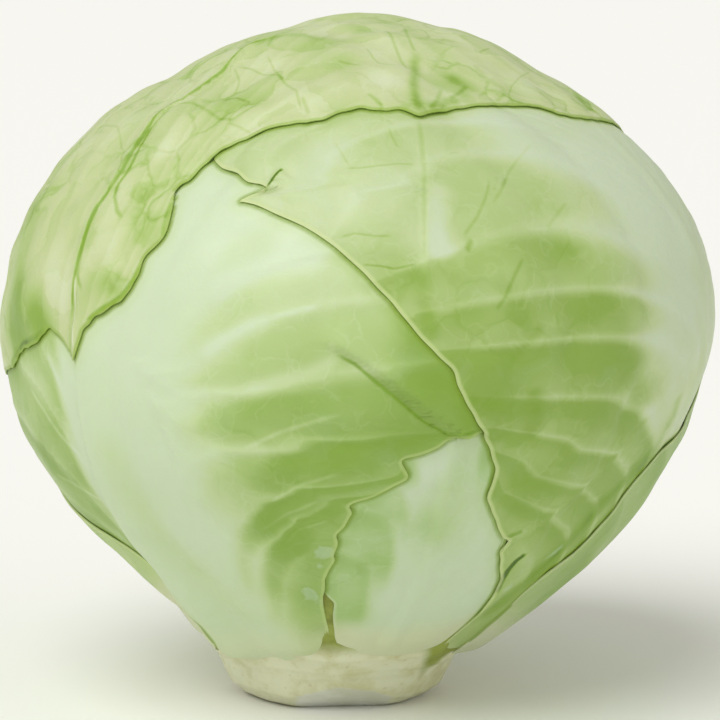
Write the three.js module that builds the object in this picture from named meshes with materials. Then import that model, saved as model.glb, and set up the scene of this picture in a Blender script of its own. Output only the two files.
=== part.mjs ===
// A green cabbage head, standing on its cut stump.
//
// The head is grown the way the plant grows it. A solid stump runs up into the tight heart, and six large
// leaves wrap it one after the other. Each leaf is a thin closed blade with a raised midrib and side ribs. It
// is laid over all that was there before it, so it bulges where the leaf below has its rib or its edge.
import * as THREE from 'three';

// Driving dimensions, in millimetres and degrees. Directions are seen from the head's centre: the polar angle
// is measured from straight up and the azimuth from the front (-Y) towards the right (+X).
const CENTRE_HEIGHT = 96; // the head's centre above the cut end of the stump
const LEAN = 5.5; // how far the head stands to the right of its stump
const LEAN_HEIGHTS = [4, 52]; // the stretch of height over which the head bends away from the stump
const HEART_PROFILE = [ // the tight heart: polar angle, distance from the centre at the left and at the right
  [0, 72.0, 72.0], [20, 69.8, 69.7], [35, 70.8, 70.6], [50, 75.5, 75.0], [65, 80.3, 80.4], [80, 84.0, 84.8],
  [92, 85.5, 86.0], [106, 86.3, 83.2], [120, 84.0, 81.3], [135, 80.8, 81.9], [147, 81.9, 84.8],
  [155, 86.0, 87.4], [161.3, 90.2, 90.2],
];
const STUMP_PROFILE = [ // the stump below the leaf bases: radius, height
  [29.3, 9.2], [28.4, 6.8], [26.3, 3.7], [23.6, 1.3], [21.6, 0.3], [20, 0], [17.5, 0], [0, 0],
];
const TRIM_NORMAL = new THREE.Vector3(0.05, -0.54, -0.84).normalize(); // an oblique cut at the stump's front
const TRIM_POINT = new THREE.Vector3(0, -18, -CENTRE_HEIGHT); // where it meets the flat, from the centre
const TRIM_MARGIN = 0.2; // a point less far outside the oblique cut than this stays where it is
const LOBE_HEIGHT = 0.35; // the soft unevenness of the heart
const LOBE_COUNT = 6;
const LOBE_WAVES = [3, 7]; // how closely they follow each other, in radians over the head's radius
const LOBE_FADE = [128, 150]; // polar angles between which that unevenness dies out towards the stump
const HEART_COLOUR = 0xd9dab0;
const HEART_ROUGHNESS = 0.6;
const LEAF_ROUGHNESS = 0.42;
const BLADE = 1.0; // thickness of a leaf blade
const GAP = 0.6; // air between a blade and what it lies on
const MIDRIB_TAPER = 1.2; // how the midrib thins from the leaf's base to its tip
const MIDRIB_TIP_WIDTH = 0.25; // its width at the tip, as a share of that at the base
const SIDE_RIB = 0.7; // how far the side ribs stand out of the blade
const SIDE_RIB_SPACING = 2; // rows of the blade's mesh from one side rib to the next
const SIDE_RIB_FADE = 2; // how soon they sink into the blade away from the midrib
const SIDE_RIB_START = [0.1, 0.3]; // shares of the leaf's length, from its base, over which they begin
const SIDE_RIB_END = [0, 0.2]; // shares of the way in from the edge over which they end
const SWEEP = 0.36; // how steeply the side ribs leave the midrib
const SWEEP_REACH = 3.2; // how soon they level out
const CURL_BAND = [0.86, 1]; // shares of the way out over which the blade curls away at its edge
const CURL_START = [0.15, 0.35]; // shares of the leaf's length, from its base, over which that begins
const COLUMN_BUNCHING = 1.25; // columns of the blade's mesh gather towards the midrib
const DRAPE_REACH = 6; // a blade bridges hollows narrower than this to either side
const DRAPE_FADE = [138, 152]; // polar angles between which that ends, so that the leaf bases lie close
const SEGMENTS = 32; // around the heart and the stump
const HEART_STEP = 7.5; // polar step of the heart's rings
const SEED = 11;

const DEG = Math.PI / 180;

function seededRandom(seed) {
  let state = seed;
  return () => {
    state = (state + 0x6d2b79f5) | 0;
    let t = Math.imul(state ^ (state >>> 15), 1 | state);
    t = (t + Math.imul(t ^ (t >>> 7), 61 | t)) ^ t;
    return ((t ^ (t >>> 14)) >>> 0) / 4294967296;
  };
}
const random = seededRandom(SEED);

const { clamp, lerp, smoothstep } = THREE.MathUtils;

// A smooth curve through [x, y] points that never swings past them
function curveThrough(points) {
  const count = points.length;
  const chord = (i) => (points[i + 1][1] - points[i][1]) / (points[i + 1][0] - points[i][0]);
  const slope = points.map((_, i) => {
    if (i === 0) return chord(0);
    if (i === count - 1) return chord(count - 2);
    const before = chord(i - 1);
    const after = chord(i);
    return before * after <= 0 ? 0 : (2 * before * after) / (before + after);
  });
  return (x) => {
    let i = 0;
    while (i < count - 2 && x > points[i + 1][0]) i += 1;
    const width = points[i + 1][0] - points[i][0];
    const t = clamp((x - points[i][0]) / width, 0, 1);
    const rise = points[i + 1][1] - points[i][1];
    const bend = t * (1 - t) * ((1 - t) * (slope[i] * width - rise) - t * (slope[i + 1] * width - rise));
    return points[i][1] + rise * t + bend;
  };
}

function direction(polar, azimuth) {
  const ring = Math.sin(polar * DEG);
  const [across, back] = [ring * Math.sin(azimuth * DEG), -ring * Math.cos(azimuth * DEG)];
  return new THREE.Vector3(across, back, Math.cos(polar * DEG));
}

const polarAngle = (d) => Math.acos(clamp(d.z, -1, 1)) / DEG;

// The heart's surface, fuller on one side than on the other, with a few soft lobes
const heartLeft = curveThrough(HEART_PROFILE.map(([polar, left]) => [polar, left]));
const heartRight = curveThrough(HEART_PROFILE.map(([polar, , right]) => [polar, right]));
const heartRadius = (polar) => (heartLeft(polar) + heartRight(polar)) / 2;
const lobes = Array.from({ length: LOBE_COUNT }, () => ({
  axis: new THREE.Vector3(random() - 0.5, random() - 0.5, random() - 0.5).normalize(),
  waves: lerp(...LOBE_WAVES, random()),
  phase: 2 * Math.PI * random(),
}));

function heartSurface(d) {
  const polar = polarAngle(d);
  const fade = 1 - smoothstep(polar, ...LOBE_FADE);
  const uneven = lobes.reduce((sum, lobe) => sum + Math.cos(lobe.waves * d.dot(lobe.axis) + lobe.phase), 0);
  const sideways = d.x / Math.max(Math.hypot(d.x, d.y), Number.EPSILON);
  const fuller = ((heartRight(polar) - heartLeft(polar)) / 2) * sideways;
  return heartRadius(polar) + fuller + LOBE_HEIGHT * fade * uneven;
}

// Every solid is shaped round the head's centre. This sets it in its place, over the bend above the stump.
function setInPlace(geometry) {
  const position = geometry.getAttribute('position');
  for (let i = 0; i < position.count; i += 1) {
    const height = position.getZ(i) + CENTRE_HEIGHT;
    position.setX(i, position.getX(i) + LEAN * smoothstep(height, ...LEAN_HEIGHTS));
    position.setZ(i, height);
  }
  return geometry;
}

// The outermost surface grown so far: its distance from the centre in every direction, kept in square cells
// on the six faces of a cube
const SKIN_CELLS = 150;
const SKIN_STEP = 0.5; // between the points of a solid that are entered in it, in millimetres
const skin = new Float32Array(6 * SKIN_CELLS * SKIN_CELLS);

function skinCell(d) {
  const size = [Math.abs(d.x), Math.abs(d.y), Math.abs(d.z)];
  const axis = size.indexOf(Math.max(...size));
  const [main, u, v] = [[d.x, d.y, d.z], [d.y, d.z, d.x], [d.z, d.x, d.y]][axis];
  const cell = (w) => clamp(Math.floor((w / size[axis] + 1) * 0.5 * SKIN_CELLS), 0, SKIN_CELLS - 1);
  return ((2 * axis + (main < 0 ? 1 : 0)) * SKIN_CELLS + cell(u)) * SKIN_CELLS + cell(v);
}

function startSkin() {
  const across = (i) => ((i + 0.5) / SKIN_CELLS) * 2 - 1;
  for (let axis = 0; axis < 3; axis += 1) {
    for (const side of [1, -1]) {
      for (let i = 0; i < SKIN_CELLS; i += 1) {
        for (let j = 0; j < SKIN_CELLS; j += 1) {
          const [u, v] = [across(i), across(j)];
          const d = new THREE.Vector3(...[[side, u, v], [v, side, u], [u, v, side]][axis]).normalize();
          skin[skinCell(d)] = heartSurface(d);
        }
      }
    }
  }
}

function pointOn(corners, shares, target) {
  target.set(0, 0, 0);
  corners.forEach((corner, k) => target.addScaledVector(corner, shares[k]));
  return target;
}

function growSkin(geometry) {
  const position = geometry.getAttribute('position');
  const index = geometry.getIndex();
  const corners = [new THREE.Vector3(), new THREE.Vector3(), new THREE.Vector3()];
  const point = new THREE.Vector3();
  for (let first = 0; first < index.count; first += 3) {
    corners.forEach((corner, k) => corner.fromBufferAttribute(position, index.getX(first + k)));
    const longest = Math.max(...corners.map((corner, k) => corner.distanceTo(corners[(k + 1) % 3])));
    const steps = Math.ceil(longest / SKIN_STEP);
    for (let i = 0; i <= steps; i += 1) {
      for (let j = 0; j <= steps - i; j += 1) {
        const distance = pointOn(corners, [i / steps, j / steps, (steps - i - j) / steps], point).length();
        const cell = skinCell(point.normalize());
        skin[cell] = Math.max(skin[cell], distance);
      }
    }
  }
}

// The stump and the heart it runs up into, turned as one piece and then made uneven
function makeStumpAndHeart() {
  const outline = STUMP_PROFILE.map(([radius, height]) => new THREE.Vector2(radius, height - CENTRE_HEIGHT));
  outline.reverse();
  const [neck] = HEART_PROFILE.at(-1);
  const rings = Math.round(neck / HEART_STEP);
  for (let i = rings; i >= 0; i -= 1) {
    const polar = (neck * i) / rings;
    const radius = heartRadius(polar);
    outline.push(new THREE.Vector2(radius * Math.sin(polar * DEG), radius * Math.cos(polar * DEG)));
  }
  const geometry = new THREE.LatheGeometry(outline, SEGMENTS);
  geometry.rotateX(Math.PI / 2);
  geometry.deleteAttribute('normal');
  geometry.deleteAttribute('uv');
  const position = geometry.getAttribute('position');
  const point = new THREE.Vector3();
  const trimLimit = TRIM_NORMAL.dot(TRIM_POINT);
  for (let i = 0; i < position.count; i += 1) {
    point.fromBufferAttribute(position, i);
    const radius = point.length();
    point.normalize();
    const uneven = heartSurface(point) - heartRadius(polarAngle(point));
    const facing = TRIM_NORMAL.dot(point);
    const trimmed = facing > 0 ? trimLimit / facing : Infinity;
    point.multiplyScalar(radius - trimmed > TRIM_MARGIN ? trimmed : radius + uneven);
    position.setXYZ(i, ...point);
  }
  return geometry;
}

// A leaf is drawn on a chart laid over the head: the bearing and distance in degrees from the leaf's middle,
// with its midrib straight down the chart from tip to base
function makeChart([polar, azimuth]) {
  const middle = direction(polar, azimuth);
  const right = new THREE.Vector3(Math.cos(azimuth * DEG), Math.sin(azimuth * DEG), 0);
  const up = new THREE.Vector3().crossVectors(right, middle).negate();
  return {
    place(bearing, distance) {
      const out = Math.sin(distance * DEG);
      return middle.clone().multiplyScalar(Math.cos(distance * DEG))
        .addScaledVector(right, out * Math.sin(bearing * DEG))
        .addScaledVector(up, out * Math.cos(bearing * DEG));
    },
    read(d) {
      const bearing = Math.atan2(d.dot(right), d.dot(up)) / DEG;
      return [bearing, Math.acos(clamp(d.dot(middle), -1, 1)) / DEG];
    },
  };
}

// The leaf's outline on its chart: how far its edge is from its middle on every bearing
function edgeDistance(leaf, chart) {
  const corners = leaf.edge.map(([polar, azimuth]) => chart.read(direction(polar, azimuth)));
  corners.sort((p, q) => p[0] - q[0]);
  const first = corners[0];
  const last = corners.at(-1);
  return curveThrough([[last[0] - 360, last[1]], ...corners, [first[0] + 360, first[1]]]);
}

// The blade's mesh is a square sheet spread over the outline. Its columns run along the midrib and its rows
// along the side ribs, which leave the midrib steeply and level out towards the edge.
function spreadSheet(leaf, chart) {
  const edge = edgeDistance(leaf, chart);
  const cells = leaf.cells;
  const length = edge(180) + edge(0);
  const sheet = [];
  for (let j = 0; j <= cells; j += 1) {
    for (let i = 0; i <= cells; i += 1) {
      const across = (2 * i) / cells - 1;
      const along = (2 * j) / cells - 1;
      const a = Math.sign(across) * Math.abs(across) ** COLUMN_BUNCHING;
      const b = along + SWEEP * (1 - along * along) * (1 - Math.exp(-SWEEP_REACH * Math.abs(a)));
      const x = a * Math.sqrt(1 - (b * b) / 2);
      const y = b * Math.sqrt(1 - (a * a) / 2);
      const bearing = Math.atan2(x, y) / DEG;
      const reach = Math.min(1, Math.hypot(x, y));
      const distance = reach * edge(bearing);
      sheet.push({
        a, b, reach, bearing,
        d: chart.place(bearing, distance),
        offRib: distance * Math.sin(bearing * DEG) * DEG * heartRadius(90),
        fromBase: clamp((distance * Math.cos(bearing * DEG) + edge(180)) / length, 0, 1),
        row: j,
      });
    }
  }
  pinCorners(leaf, chart, sheet);
  return sheet;
}

// The border points nearest to the outline's corners are moved onto them, so that points and notches stay
// sharp
function pinCorners(leaf, chart, sheet) {
  const border = sheetBorder(leaf.cells);
  const turn = (p, q) => Math.abs(((p - q + 540) % 360) - 180);
  const nearest = new Map();
  for (const corner of leaf.edge) {
    const d = direction(...corner);
    const [bearing] = chart.read(d);
    const away = (k) => turn(sheet[k].bearing, bearing);
    const point = border.reduce((best, k) => (away(k) < away(best) ? k : best));
    const known = nearest.get(point);
    if (!known || away(point) < known.away) nearest.set(point, { d, away: away(point) });
  }
  nearest.forEach(({ d }, point) => { sheet[point].d = d; });
}

// Both faces of a blade are split into the same triangles. The diagonals run from the sheet's corners to its
// middle.
function sheetTriangles(cells) {
  const triangles = [];
  const at = (i, j) => j * (cells + 1) + i;
  for (let j = 0; j < cells; j += 1) {
    for (let i = 0; i < cells; i += 1) {
      const [p, q, r, s] = [at(i, j), at(i + 1, j), at(i + 1, j + 1), at(i, j + 1)];
      if (i < cells / 2 === j < cells / 2) triangles.push([p, q, r], [p, r, s]);
      else triangles.push([p, q, s], [q, r, s]);
    }
  }
  return triangles;
}

function sheetBorder(cells) {
  const border = [];
  const at = (i, j) => j * (cells + 1) + i;
  for (let i = 0; i < cells; i += 1) border.push(at(i, 0));
  for (let j = 0; j < cells; j += 1) border.push(at(cells, j));
  for (let i = cells; i > 0; i -= 1) border.push(at(i, cells));
  for (let j = cells; j > 0; j -= 1) border.push(at(0, j));
  return border;
}

// Points spread evenly over a triangle, as shares of its three corners
const SPREAD = 5;
const spreadShares = [];
for (let i = 0; i <= SPREAD; i += 1) {
  for (let j = 0; j <= SPREAD - i; j += 1) {
    spreadShares.push([i / SPREAD, j / SPREAD, (SPREAD - i - j) / SPREAD]);
  }
}

// Lay the sheet over the skin: bridge narrow hollows, smooth, then push every triangle clear of what is below
const BRIDGE_RINGS = [0.5, 1]; // how far out the skin is looked at round each point, as shares of DRAPE_REACH
const BRIDGE_TURN = 45; // and in which steps of bearing
const SMOOTHINGS = 3;
const SMOOTHING_SHARE = 0.5;
const PUSHES = 40;
const PUSHED_ENOUGH = 0.01;

function highestAround(d) {
  const around = makeChart([polarAngle(d), Math.atan2(d.x, -d.y) / DEG]);
  const bridge = 1 - smoothstep(polarAngle(d), ...DRAPE_FADE);
  const farthest = (bridge * DRAPE_REACH) / heartRadius(90) / DEG;
  const above = (near) => skin[skinCell(near)] - heartSurface(near);
  let highest = above(d);
  for (const share of BRIDGE_RINGS) {
    for (let bearing = 0; bearing < 360; bearing += BRIDGE_TURN) {
      highest = Math.max(highest, above(around.place(bearing, share * farthest)));
    }
  }
  return highest;
}

function smoothed(heights, cells) {
  const side = cells + 1;
  return heights.map((height, k) => {
    const [i, j] = [k % side, Math.floor(k / side)];
    const near = [[i - 1, j], [i + 1, j], [i, j - 1], [i, j + 1]]
      .filter((place) => place.every((w) => w >= 0 && w <= cells))
      .map(([u, v]) => heights[v * side + u]);
    return lerp(height, near.reduce((sum, h) => sum + h, 0) / near.length, SMOOTHING_SHARE);
  });
}

// Raises a triangle's corners until no point of it is closer to the skin than the gap, and says how far it
// was short
function pushClear(sheet, triangle, radii) {
  const corners = triangle.map((k) => sheet[k].d.clone().multiplyScalar(radii[k]));
  const point = new THREE.Vector3();
  let worst = 0;
  for (const shares of spreadShares) {
    const distance = pointOn(corners, shares, point).length();
    const short = skin[skinCell(point.normalize())] + GAP - distance;
    if (short > 0) {
      worst = Math.max(worst, short);
      const weight = shares.reduce((sum, share) => sum + share * share, 0);
      triangle.forEach((k, corner) => {
        radii[k] += (short * shares[corner]) / weight;
        corners[corner].setLength(radii[k]);
      });
    }
  }
  return worst;
}

function drape(leaf, sheet, triangles) {
  let heights = sheet.map(({ d }) => highestAround(d));
  for (let pass = 0; pass < SMOOTHINGS; pass += 1) heights = smoothed(heights, leaf.cells);
  const radii = sheet.map((spot, k) => heartSurface(spot.d) + heights[k] + GAP + curl(leaf, spot));
  for (let pass = 0; pass < PUSHES; pass += 1) {
    const short = triangles.map((triangle) => pushClear(sheet, triangle, radii));
    if (Math.max(...short) < PUSHED_ENOUGH) break;
  }
  return radii;
}

// How thick the leaf is at a point of its sheet: the blade, its midrib and its side ribs
function thickness(leaf, { a, offRib, fromBase, row, reach }) {
  const taper = (1 - fromBase) ** MIDRIB_TAPER;
  const width = (offRib < 0 ? leaf.rib.left : leaf.rib.right) * lerp(MIDRIB_TIP_WIDTH, 1, taper);
  const midrib = leaf.rib.height * taper * Math.exp(-((offRib / width) ** 2));
  if (row % SIDE_RIB_SPACING !== 0) return BLADE + midrib;
  const fade = Math.exp(-SIDE_RIB_FADE * Math.abs(a)) * smoothstep(fromBase, ...SIDE_RIB_START);
  return BLADE + midrib + SIDE_RIB * fade * smoothstep(1 - reach, ...SIDE_RIB_END);
}

// How far the blade's edge curls away from what is below it, in waves
function curl(leaf, { reach, bearing, fromBase }) {
  const wave = (1 + Math.sin(leaf.waves * bearing * DEG)) / 2;
  return leaf.curl * wave * smoothstep(reach, ...CURL_BAND) * smoothstep(fromBase, ...CURL_START);
}

function makeLeaf(leaf) {
  const chart = makeChart(leaf.middle);
  const sheet = spreadSheet(leaf, chart);
  const triangles = sheetTriangles(leaf.cells);
  const inner = drape(leaf, sheet, triangles);
  const outer = sheet.map((point, k) => inner[k] + thickness(leaf, point));
  const positions = [];
  for (const radii of [outer, inner]) {
    sheet.forEach(({ d }, k) => positions.push(...d.clone().multiplyScalar(radii[k])));
  }
  const count = sheet.length;
  const border = sheetBorder(leaf.cells);
  const index = [];
  triangles.forEach(([p, q, r]) => index.push(p, q, r, p + count, r + count, q + count));
  border.forEach((p, k) => {
    const q = border[(k + 1) % border.length];
    index.push(p + count, q + count, q, p + count, q, p);
  });
  const geometry = new THREE.BufferGeometry();
  geometry.setAttribute('position', new THREE.Float32BufferAttribute(positions, 3));
  geometry.setIndex(index);
  return geometry;
}

// The leaves from the inside out. middle: where the leaf's middle lies; edge: its outline, clockwise from the
// base; rib: the midrib's height and its half width to either side at the base; curl and waves: how far the
// edge curls away, and in how many waves
const LEAVES = [
  {
    name: 'leaf_1_inner_front', colour: 0xc6dba8, cells: 18, middle: [100, 15], curl: 0.2, waves: 7,
    rib: { height: 0.8, left: 9, right: 9 },
    edge: [
      [154, 16], [152.5, 7], [150.9, -1], [143.7, -3.8], [138.4, -4.6], [130, -12], [120, -21], [105, -28],
      [85, -30], [68, -24], [50, -14], [38, 15], [52, 40], [70, 46], [88, 46], [105, 43], [118, 38.5],
      [127, 38], [134.6, 40], [142.3, 40.6], [149.6, 39.8], [153.6, 35.5], [154.6, 27],
    ],
  },
  {
    name: 'leaf_2_front_left', colour: 0xb4d189, cells: 22, middle: [88, -46], curl: 0.5, waves: 13,
    rib: { height: 3.2, left: 8, right: 14 },
    edge: [
      [159.8, -46], [159.4, -54], [156, -58], [148, -64], [135, -76], [120, -92], [105, -104], [85, -112],
      [65, -116], [45, -112], [28, -95], [19, -46], [28, -10], [40, 8], [55, 20], [70, 27], [85, 29],
      [97, 27], [102.9, 19.9], [103.4, 12.5], [105.7, 7.2], [107.4, 6.5], [110.4, 2.7], [114.7, -1.3],
      [123, -4.2], [134.8, -6.4], [143.8, -6.2], [154, -5.5], [157.6, -17], [159.4, -30],
    ],
  },
  {
    name: 'leaf_3_front_right', colour: 0xb2cf83, cells: 22, middle: [82, 72], curl: 0.6, waves: 11,
    rib: { height: 1.2, left: 10, right: 10 },
    edge: [
      [159.6, 72], [159.3, 60], [157.6, 47], [153.6, 41.6], [147, 40.4], [138.6, 38], [130.3, 33],
      [123.5, 29.6], [114.7, 23.6], [111, 23.9], [105.5, 21.9], [100.4, 18.5], [91.8, 14.1], [86.6, 9],
      [79.3, 3.3], [72.5, -4.4], [67.4, -12.1], [65, -19.8], [62.4, -17.6], [59, -25.8], [56, -30.5],
      [50, -31], [42, -29], [32, -20], [22, 15], [20, 72], [30, 125], [50, 136], [70, 134], [90, 128],
      [110, 120], [130, 110], [148, 100], [156.5, 92], [159.3, 84],
    ],
  },
  {
    name: 'leaf_4_back_left', colour: 0x9cc072, cells: 20, middle: [117, -121], curl: 0.5, waves: 9,
    rib: { height: 1.6, left: 11, right: 11 },
    edge: [
      [159.8, -110], [159.5, -80], [157, -56], [151.5, -50], [144.3, -51.6], [136.5, -53], [130.2, -56.5],
      [127, -64.2], [124.5, -74], [120, -86], [112, -96], [98, -102], [80, -105], [60, -110], [44, -120],
      [38, -137],
      [46, -155], [62, -168], [82, -174], [102, -175], [122, -172], [140, -166], [152, -165], [159, -158],
      [159.8, -135],
    ],
  },
  {
    name: 'leaf_5_right_back', colour: 0xa9c68a, cells: 20, middle: [104, 117], curl: 0.5, waves: 10,
    rib: { height: 1.6, left: 11, right: 11 },
    edge: [
      [159.8, 112], [159.8, 85], [159.2, 60], [154.5, 53.2], [150.5, 51.8], [145, 50.2], [139.8, 49.8],
      [135, 50.3], [132.2, 51.9], [129.8, 54.6], [127.4, 56.3], [124.6, 57.9], [120.6, 59.8], [116.2, 60.9],
      [113.9, 62], [112, 63.8], [110, 66.2], [108.4, 70], [107, 74], [105, 79], [100.5, 88.5], [93, 95],
      [80, 100], [64, 104], [50, 111], [42, 124], [44, 141], [55, 156], [75, 164], [95, 167], [115, 166],
      [135, 160], [150, 156], [159.4, 146],
    ],
  },
  {
    name: 'leaf_6_top_cap', colour: 0xb9d488, cells: 28, middle: [48, 178], curl: 1.3, waves: 17,
    rib: { height: 2.0, left: 10, right: 10 },
    edge: [
      [159.8, 178], [159.6, 194], [155, 200], [140, 207], [125, 218], [112, 234], [104, 256], [98.4, -82.5],
      [92.5, -64.4], [88.5, -56.9], [89.4, -51.6], [91.8, -48.1], [88.3, -47.4], [82.5, -41.5], [78.4, -37.4],
      [72.7, -34.2], [68.6, -33.8], [62.4, -35.8], [58.2, -31.4], [54.1, -25.7], [50.7, -19.1], [49.1, -8.4],
      [46.6, 0.5], [48, 14.1], [45.2, 25.1], [43.8, 37.9], [44.3, 52], [48, 61.7], [51.4, 82.7], [58, 100],
      [70, 115], [84, 127], [100, 137], [118, 147], [135, 155], [150, 158], [159.5, 162],
    ],
  },
];

const cabbage = new THREE.Group();

// Each solid covers the ones before it, so each is entered in the skin as it is made
function addSolid(name, geometry, colour, roughness) {
  growSkin(geometry);
  const material = new THREE.MeshStandardMaterial({ color: colour, roughness, metalness: 0 });
  const mesh = new THREE.Mesh(setInPlace(geometry), material);
  mesh.name = name;
  cabbage.add(mesh);
}

startSkin();
addSolid('stump_and_heart', makeStumpAndHeart(), HEART_COLOUR, HEART_ROUGHNESS);
LEAVES.forEach((leaf) => addSolid(leaf.name, makeLeaf(leaf), leaf.colour, LEAF_ROUGHNESS));

export default cabbage;
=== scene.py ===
# %% [markdown]
# # A head of green cabbage
# The head stands on its cut stump. Six large outer leaves wrap a tight heart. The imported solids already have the
# leaves' outlines and places. Each piece here follows the same form, with a much finer surface: the ribs, the
# crumpled margins, the folds where a leaf lies over the rib of the one below, and the waxy flesh.

import math

import bpy
import numpy as np
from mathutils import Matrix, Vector
from mathutils.kdtree import KDTree


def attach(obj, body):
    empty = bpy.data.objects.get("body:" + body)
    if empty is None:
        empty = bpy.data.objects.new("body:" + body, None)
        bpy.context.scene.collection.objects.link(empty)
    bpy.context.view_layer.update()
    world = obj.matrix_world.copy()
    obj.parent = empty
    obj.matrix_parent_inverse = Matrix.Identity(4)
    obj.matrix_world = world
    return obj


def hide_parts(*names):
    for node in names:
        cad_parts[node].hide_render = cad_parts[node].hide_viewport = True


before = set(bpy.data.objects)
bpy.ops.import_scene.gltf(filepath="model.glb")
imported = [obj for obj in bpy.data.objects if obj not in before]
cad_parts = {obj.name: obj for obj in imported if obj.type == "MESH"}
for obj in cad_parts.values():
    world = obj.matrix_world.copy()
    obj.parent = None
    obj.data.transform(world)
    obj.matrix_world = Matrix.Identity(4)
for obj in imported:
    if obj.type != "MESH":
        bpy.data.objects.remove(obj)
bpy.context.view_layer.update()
print("solids:", sorted(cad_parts))

# %% [markdown]
# ## Sizes
# A cabbage grows outwards from one point, so each surface is described by its distance from the head's centre in
# every direction. The heart is a little fuller on one side, so it has a profile for each. Lengths are in
# millimetres until a mesh is made.

# %% Sizes
CENTRE_HEIGHT = 96.0  # the head's centre above the cut end of the stump
LEAN = 5.5  # the head stands this far to the right of its stump
LEAN_HEIGHTS = (4.0, 52.0)  # and bends over to there between these heights
RADIUS = 88.0  # about the head's own radius, for turning degrees into lengths
DEGREE = math.pi / 180
ARC = RADIUS * DEGREE  # millimetres along the head for each degree
HEART_LEFT = [  # polar angle and distance from the centre, on the left side
    (0, 74.0), (20, 72.0), (35, 72.0), (50, 76.5), (65, 81.3), (80, 85.0), (92, 86.5), (106, 87.3),
    (120, 85.0), (135, 81.6), (147, 82.4), (155, 86.2), (161.3, 90.2),
]
HEART_RIGHT = [
    (0, 74.0), (20, 72.4), (35, 72.1), (50, 76.2), (65, 81.4), (80, 85.8), (92, 87.0), (106, 84.2),
    (120, 82.3), (135, 82.9), (147, 85.3), (155, 87.8), (161.3, 90.2),
]
print("one degree along the head is", round(ARC, 2), "mm")

# %% [markdown]
# ## Directions
# The polar angle is measured from straight up. The azimuth is 0 at the front and grows to the right. Angles suit a
# round head better than x, y and z, because a leaf's outline keeps its place when the head gets fuller.


# %% Directions from the middle of the head
def smoothstep(x, low, high):
    t = np.clip((x - low) / (high - low), 0, 1)
    return t * t * (3 - 2 * t)


def direction(polar, azimuth):
    polar, azimuth = np.asarray(polar) * DEGREE, np.asarray(azimuth) * DEGREE
    ring = np.sin(polar)
    return np.stack([ring * np.sin(azimuth), -ring * np.cos(azimuth), np.cos(polar) + 0 * azimuth], -1)


def polar_of(d):
    return np.arccos(np.clip(d[..., 2], -1, 1)) / DEGREE


print("straight to the front:", direction(90, 0).round(3))

# %% [markdown]
# ## Curves through measured points
# The profile of the heart, the outline of a leaf and the reach of its pale flesh are all given as a few points. A
# plain spline would swing past them and make bumps, so the slope at each point is the harmonic mean of its
# neighbours' slopes, which is flat wherever the points turn back.


# %% A curve through points
def curve_through(points):
    """A smooth curve through (x, y) points that never swings past them."""
    x, y = np.array(points, float).T
    chord = np.diff(y) / np.diff(x)
    before, after = chord[:-1], chord[1:]
    inner = np.where(before * after > 0, 2 * before * after / np.where(before + after == 0, 1, before + after), 0)
    slope = np.concatenate([chord[:1], inner, chord[-1:]])

    def curve(at):
        i = np.clip(np.searchsorted(x, at) - 1, 0, len(x) - 2)
        width, rise = x[i + 1] - x[i], y[i + 1] - y[i]
        t = np.clip((at - x[i]) / width, 0, 1)
        bend = t * (1 - t) * ((1 - t) * (slope[i] * width - rise) - t * (slope[i + 1] * width - rise))
        return y[i] + rise * t + bend

    return curve


def both_sides(left, right, d):
    """A value that goes from the left one to the right one round the head."""
    ring = np.maximum(np.hypot(d[..., 0], d[..., 1]), 1e-9)
    return (left + right) / 2 + (right - left) / 2 * d[..., 0] / ring


heart_left, heart_right = curve_through(HEART_LEFT), curve_through(HEART_RIGHT)
print("heart at its widest ring:", float(heart_left(90)), "mm left,", float(heart_right(90)), "mm right")

# %% [markdown]
# ## Unevenness
# Nothing on a cabbage is exactly round. A few long waves in seeded directions give the heart soft lobes, and
# shorter ones make a leaf swell and sink a little. Waves are used here and not a noise texture because the same
# numbers must come out on every run.

# %% Seeded waves in space
LOBE_HEIGHT = 0.7
LOBES_END = (128, 150)  # polar angles between which the lobes fade, above the stump


def waves(seed, wavelength, count=7):
    random = np.random.default_rng(seed)
    axes = random.normal(size=(count, 3))
    axes /= np.linalg.norm(axes, axis=1)[:, None]
    turns = 2 * math.pi * RADIUS / wavelength * random.uniform(0.7, 1.3, count)
    phases = random.uniform(0, 2 * math.pi, count)

    def height(d):
        return sum(np.cos(turn * (d @ axis) + phase) for axis, turn, phase in zip(axes, turns, phases)) / count**0.5

    return height


lobes = waves(11, 110)


def lobe_height(d, polar):
    return LOBE_HEIGHT * (1 - smoothstep(polar, *LOBES_END)) * lobes(d)


def heart_surface(d):
    polar = polar_of(d)
    return both_sides(heart_left(polar), heart_right(polar), d) + lobe_height(d, polar)


print("lobes: up to", round(float(np.abs(lobes(direction(np.arange(180), np.arange(180) * 7))).max()), 2), "mm")

# %% [markdown]
# ## What a new leaf lies on
# Leaves are laid one after another, as they are in the plant. How high the leaves so far stand over the heart is
# remembered in small square cells on the six faces of a cube round the centre. A finished leaf is written into the
# cells, and the next leaf reads them, so it rises where the one below has its rib or its edge. A cloth simulation
# could do the same, but it would not keep the outlines that the photograph shows.

# %% The skin of the head so far
CELLS = 300


def cell_of(d):
    size = np.abs(d)
    axis = size.argmax(-1)[..., None]
    main, u, v = (np.take_along_axis(d, (axis + k) % 3, -1)[..., 0] for k in range(3))
    place = [np.clip(((w / np.abs(main) + 1) * 0.5 * CELLS).astype(int), 0, CELLS - 1) for w in (u, v)]
    return ((2 * axis[..., 0] + (main < 0)) * CELLS + place[0]) * CELLS + place[1]


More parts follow.
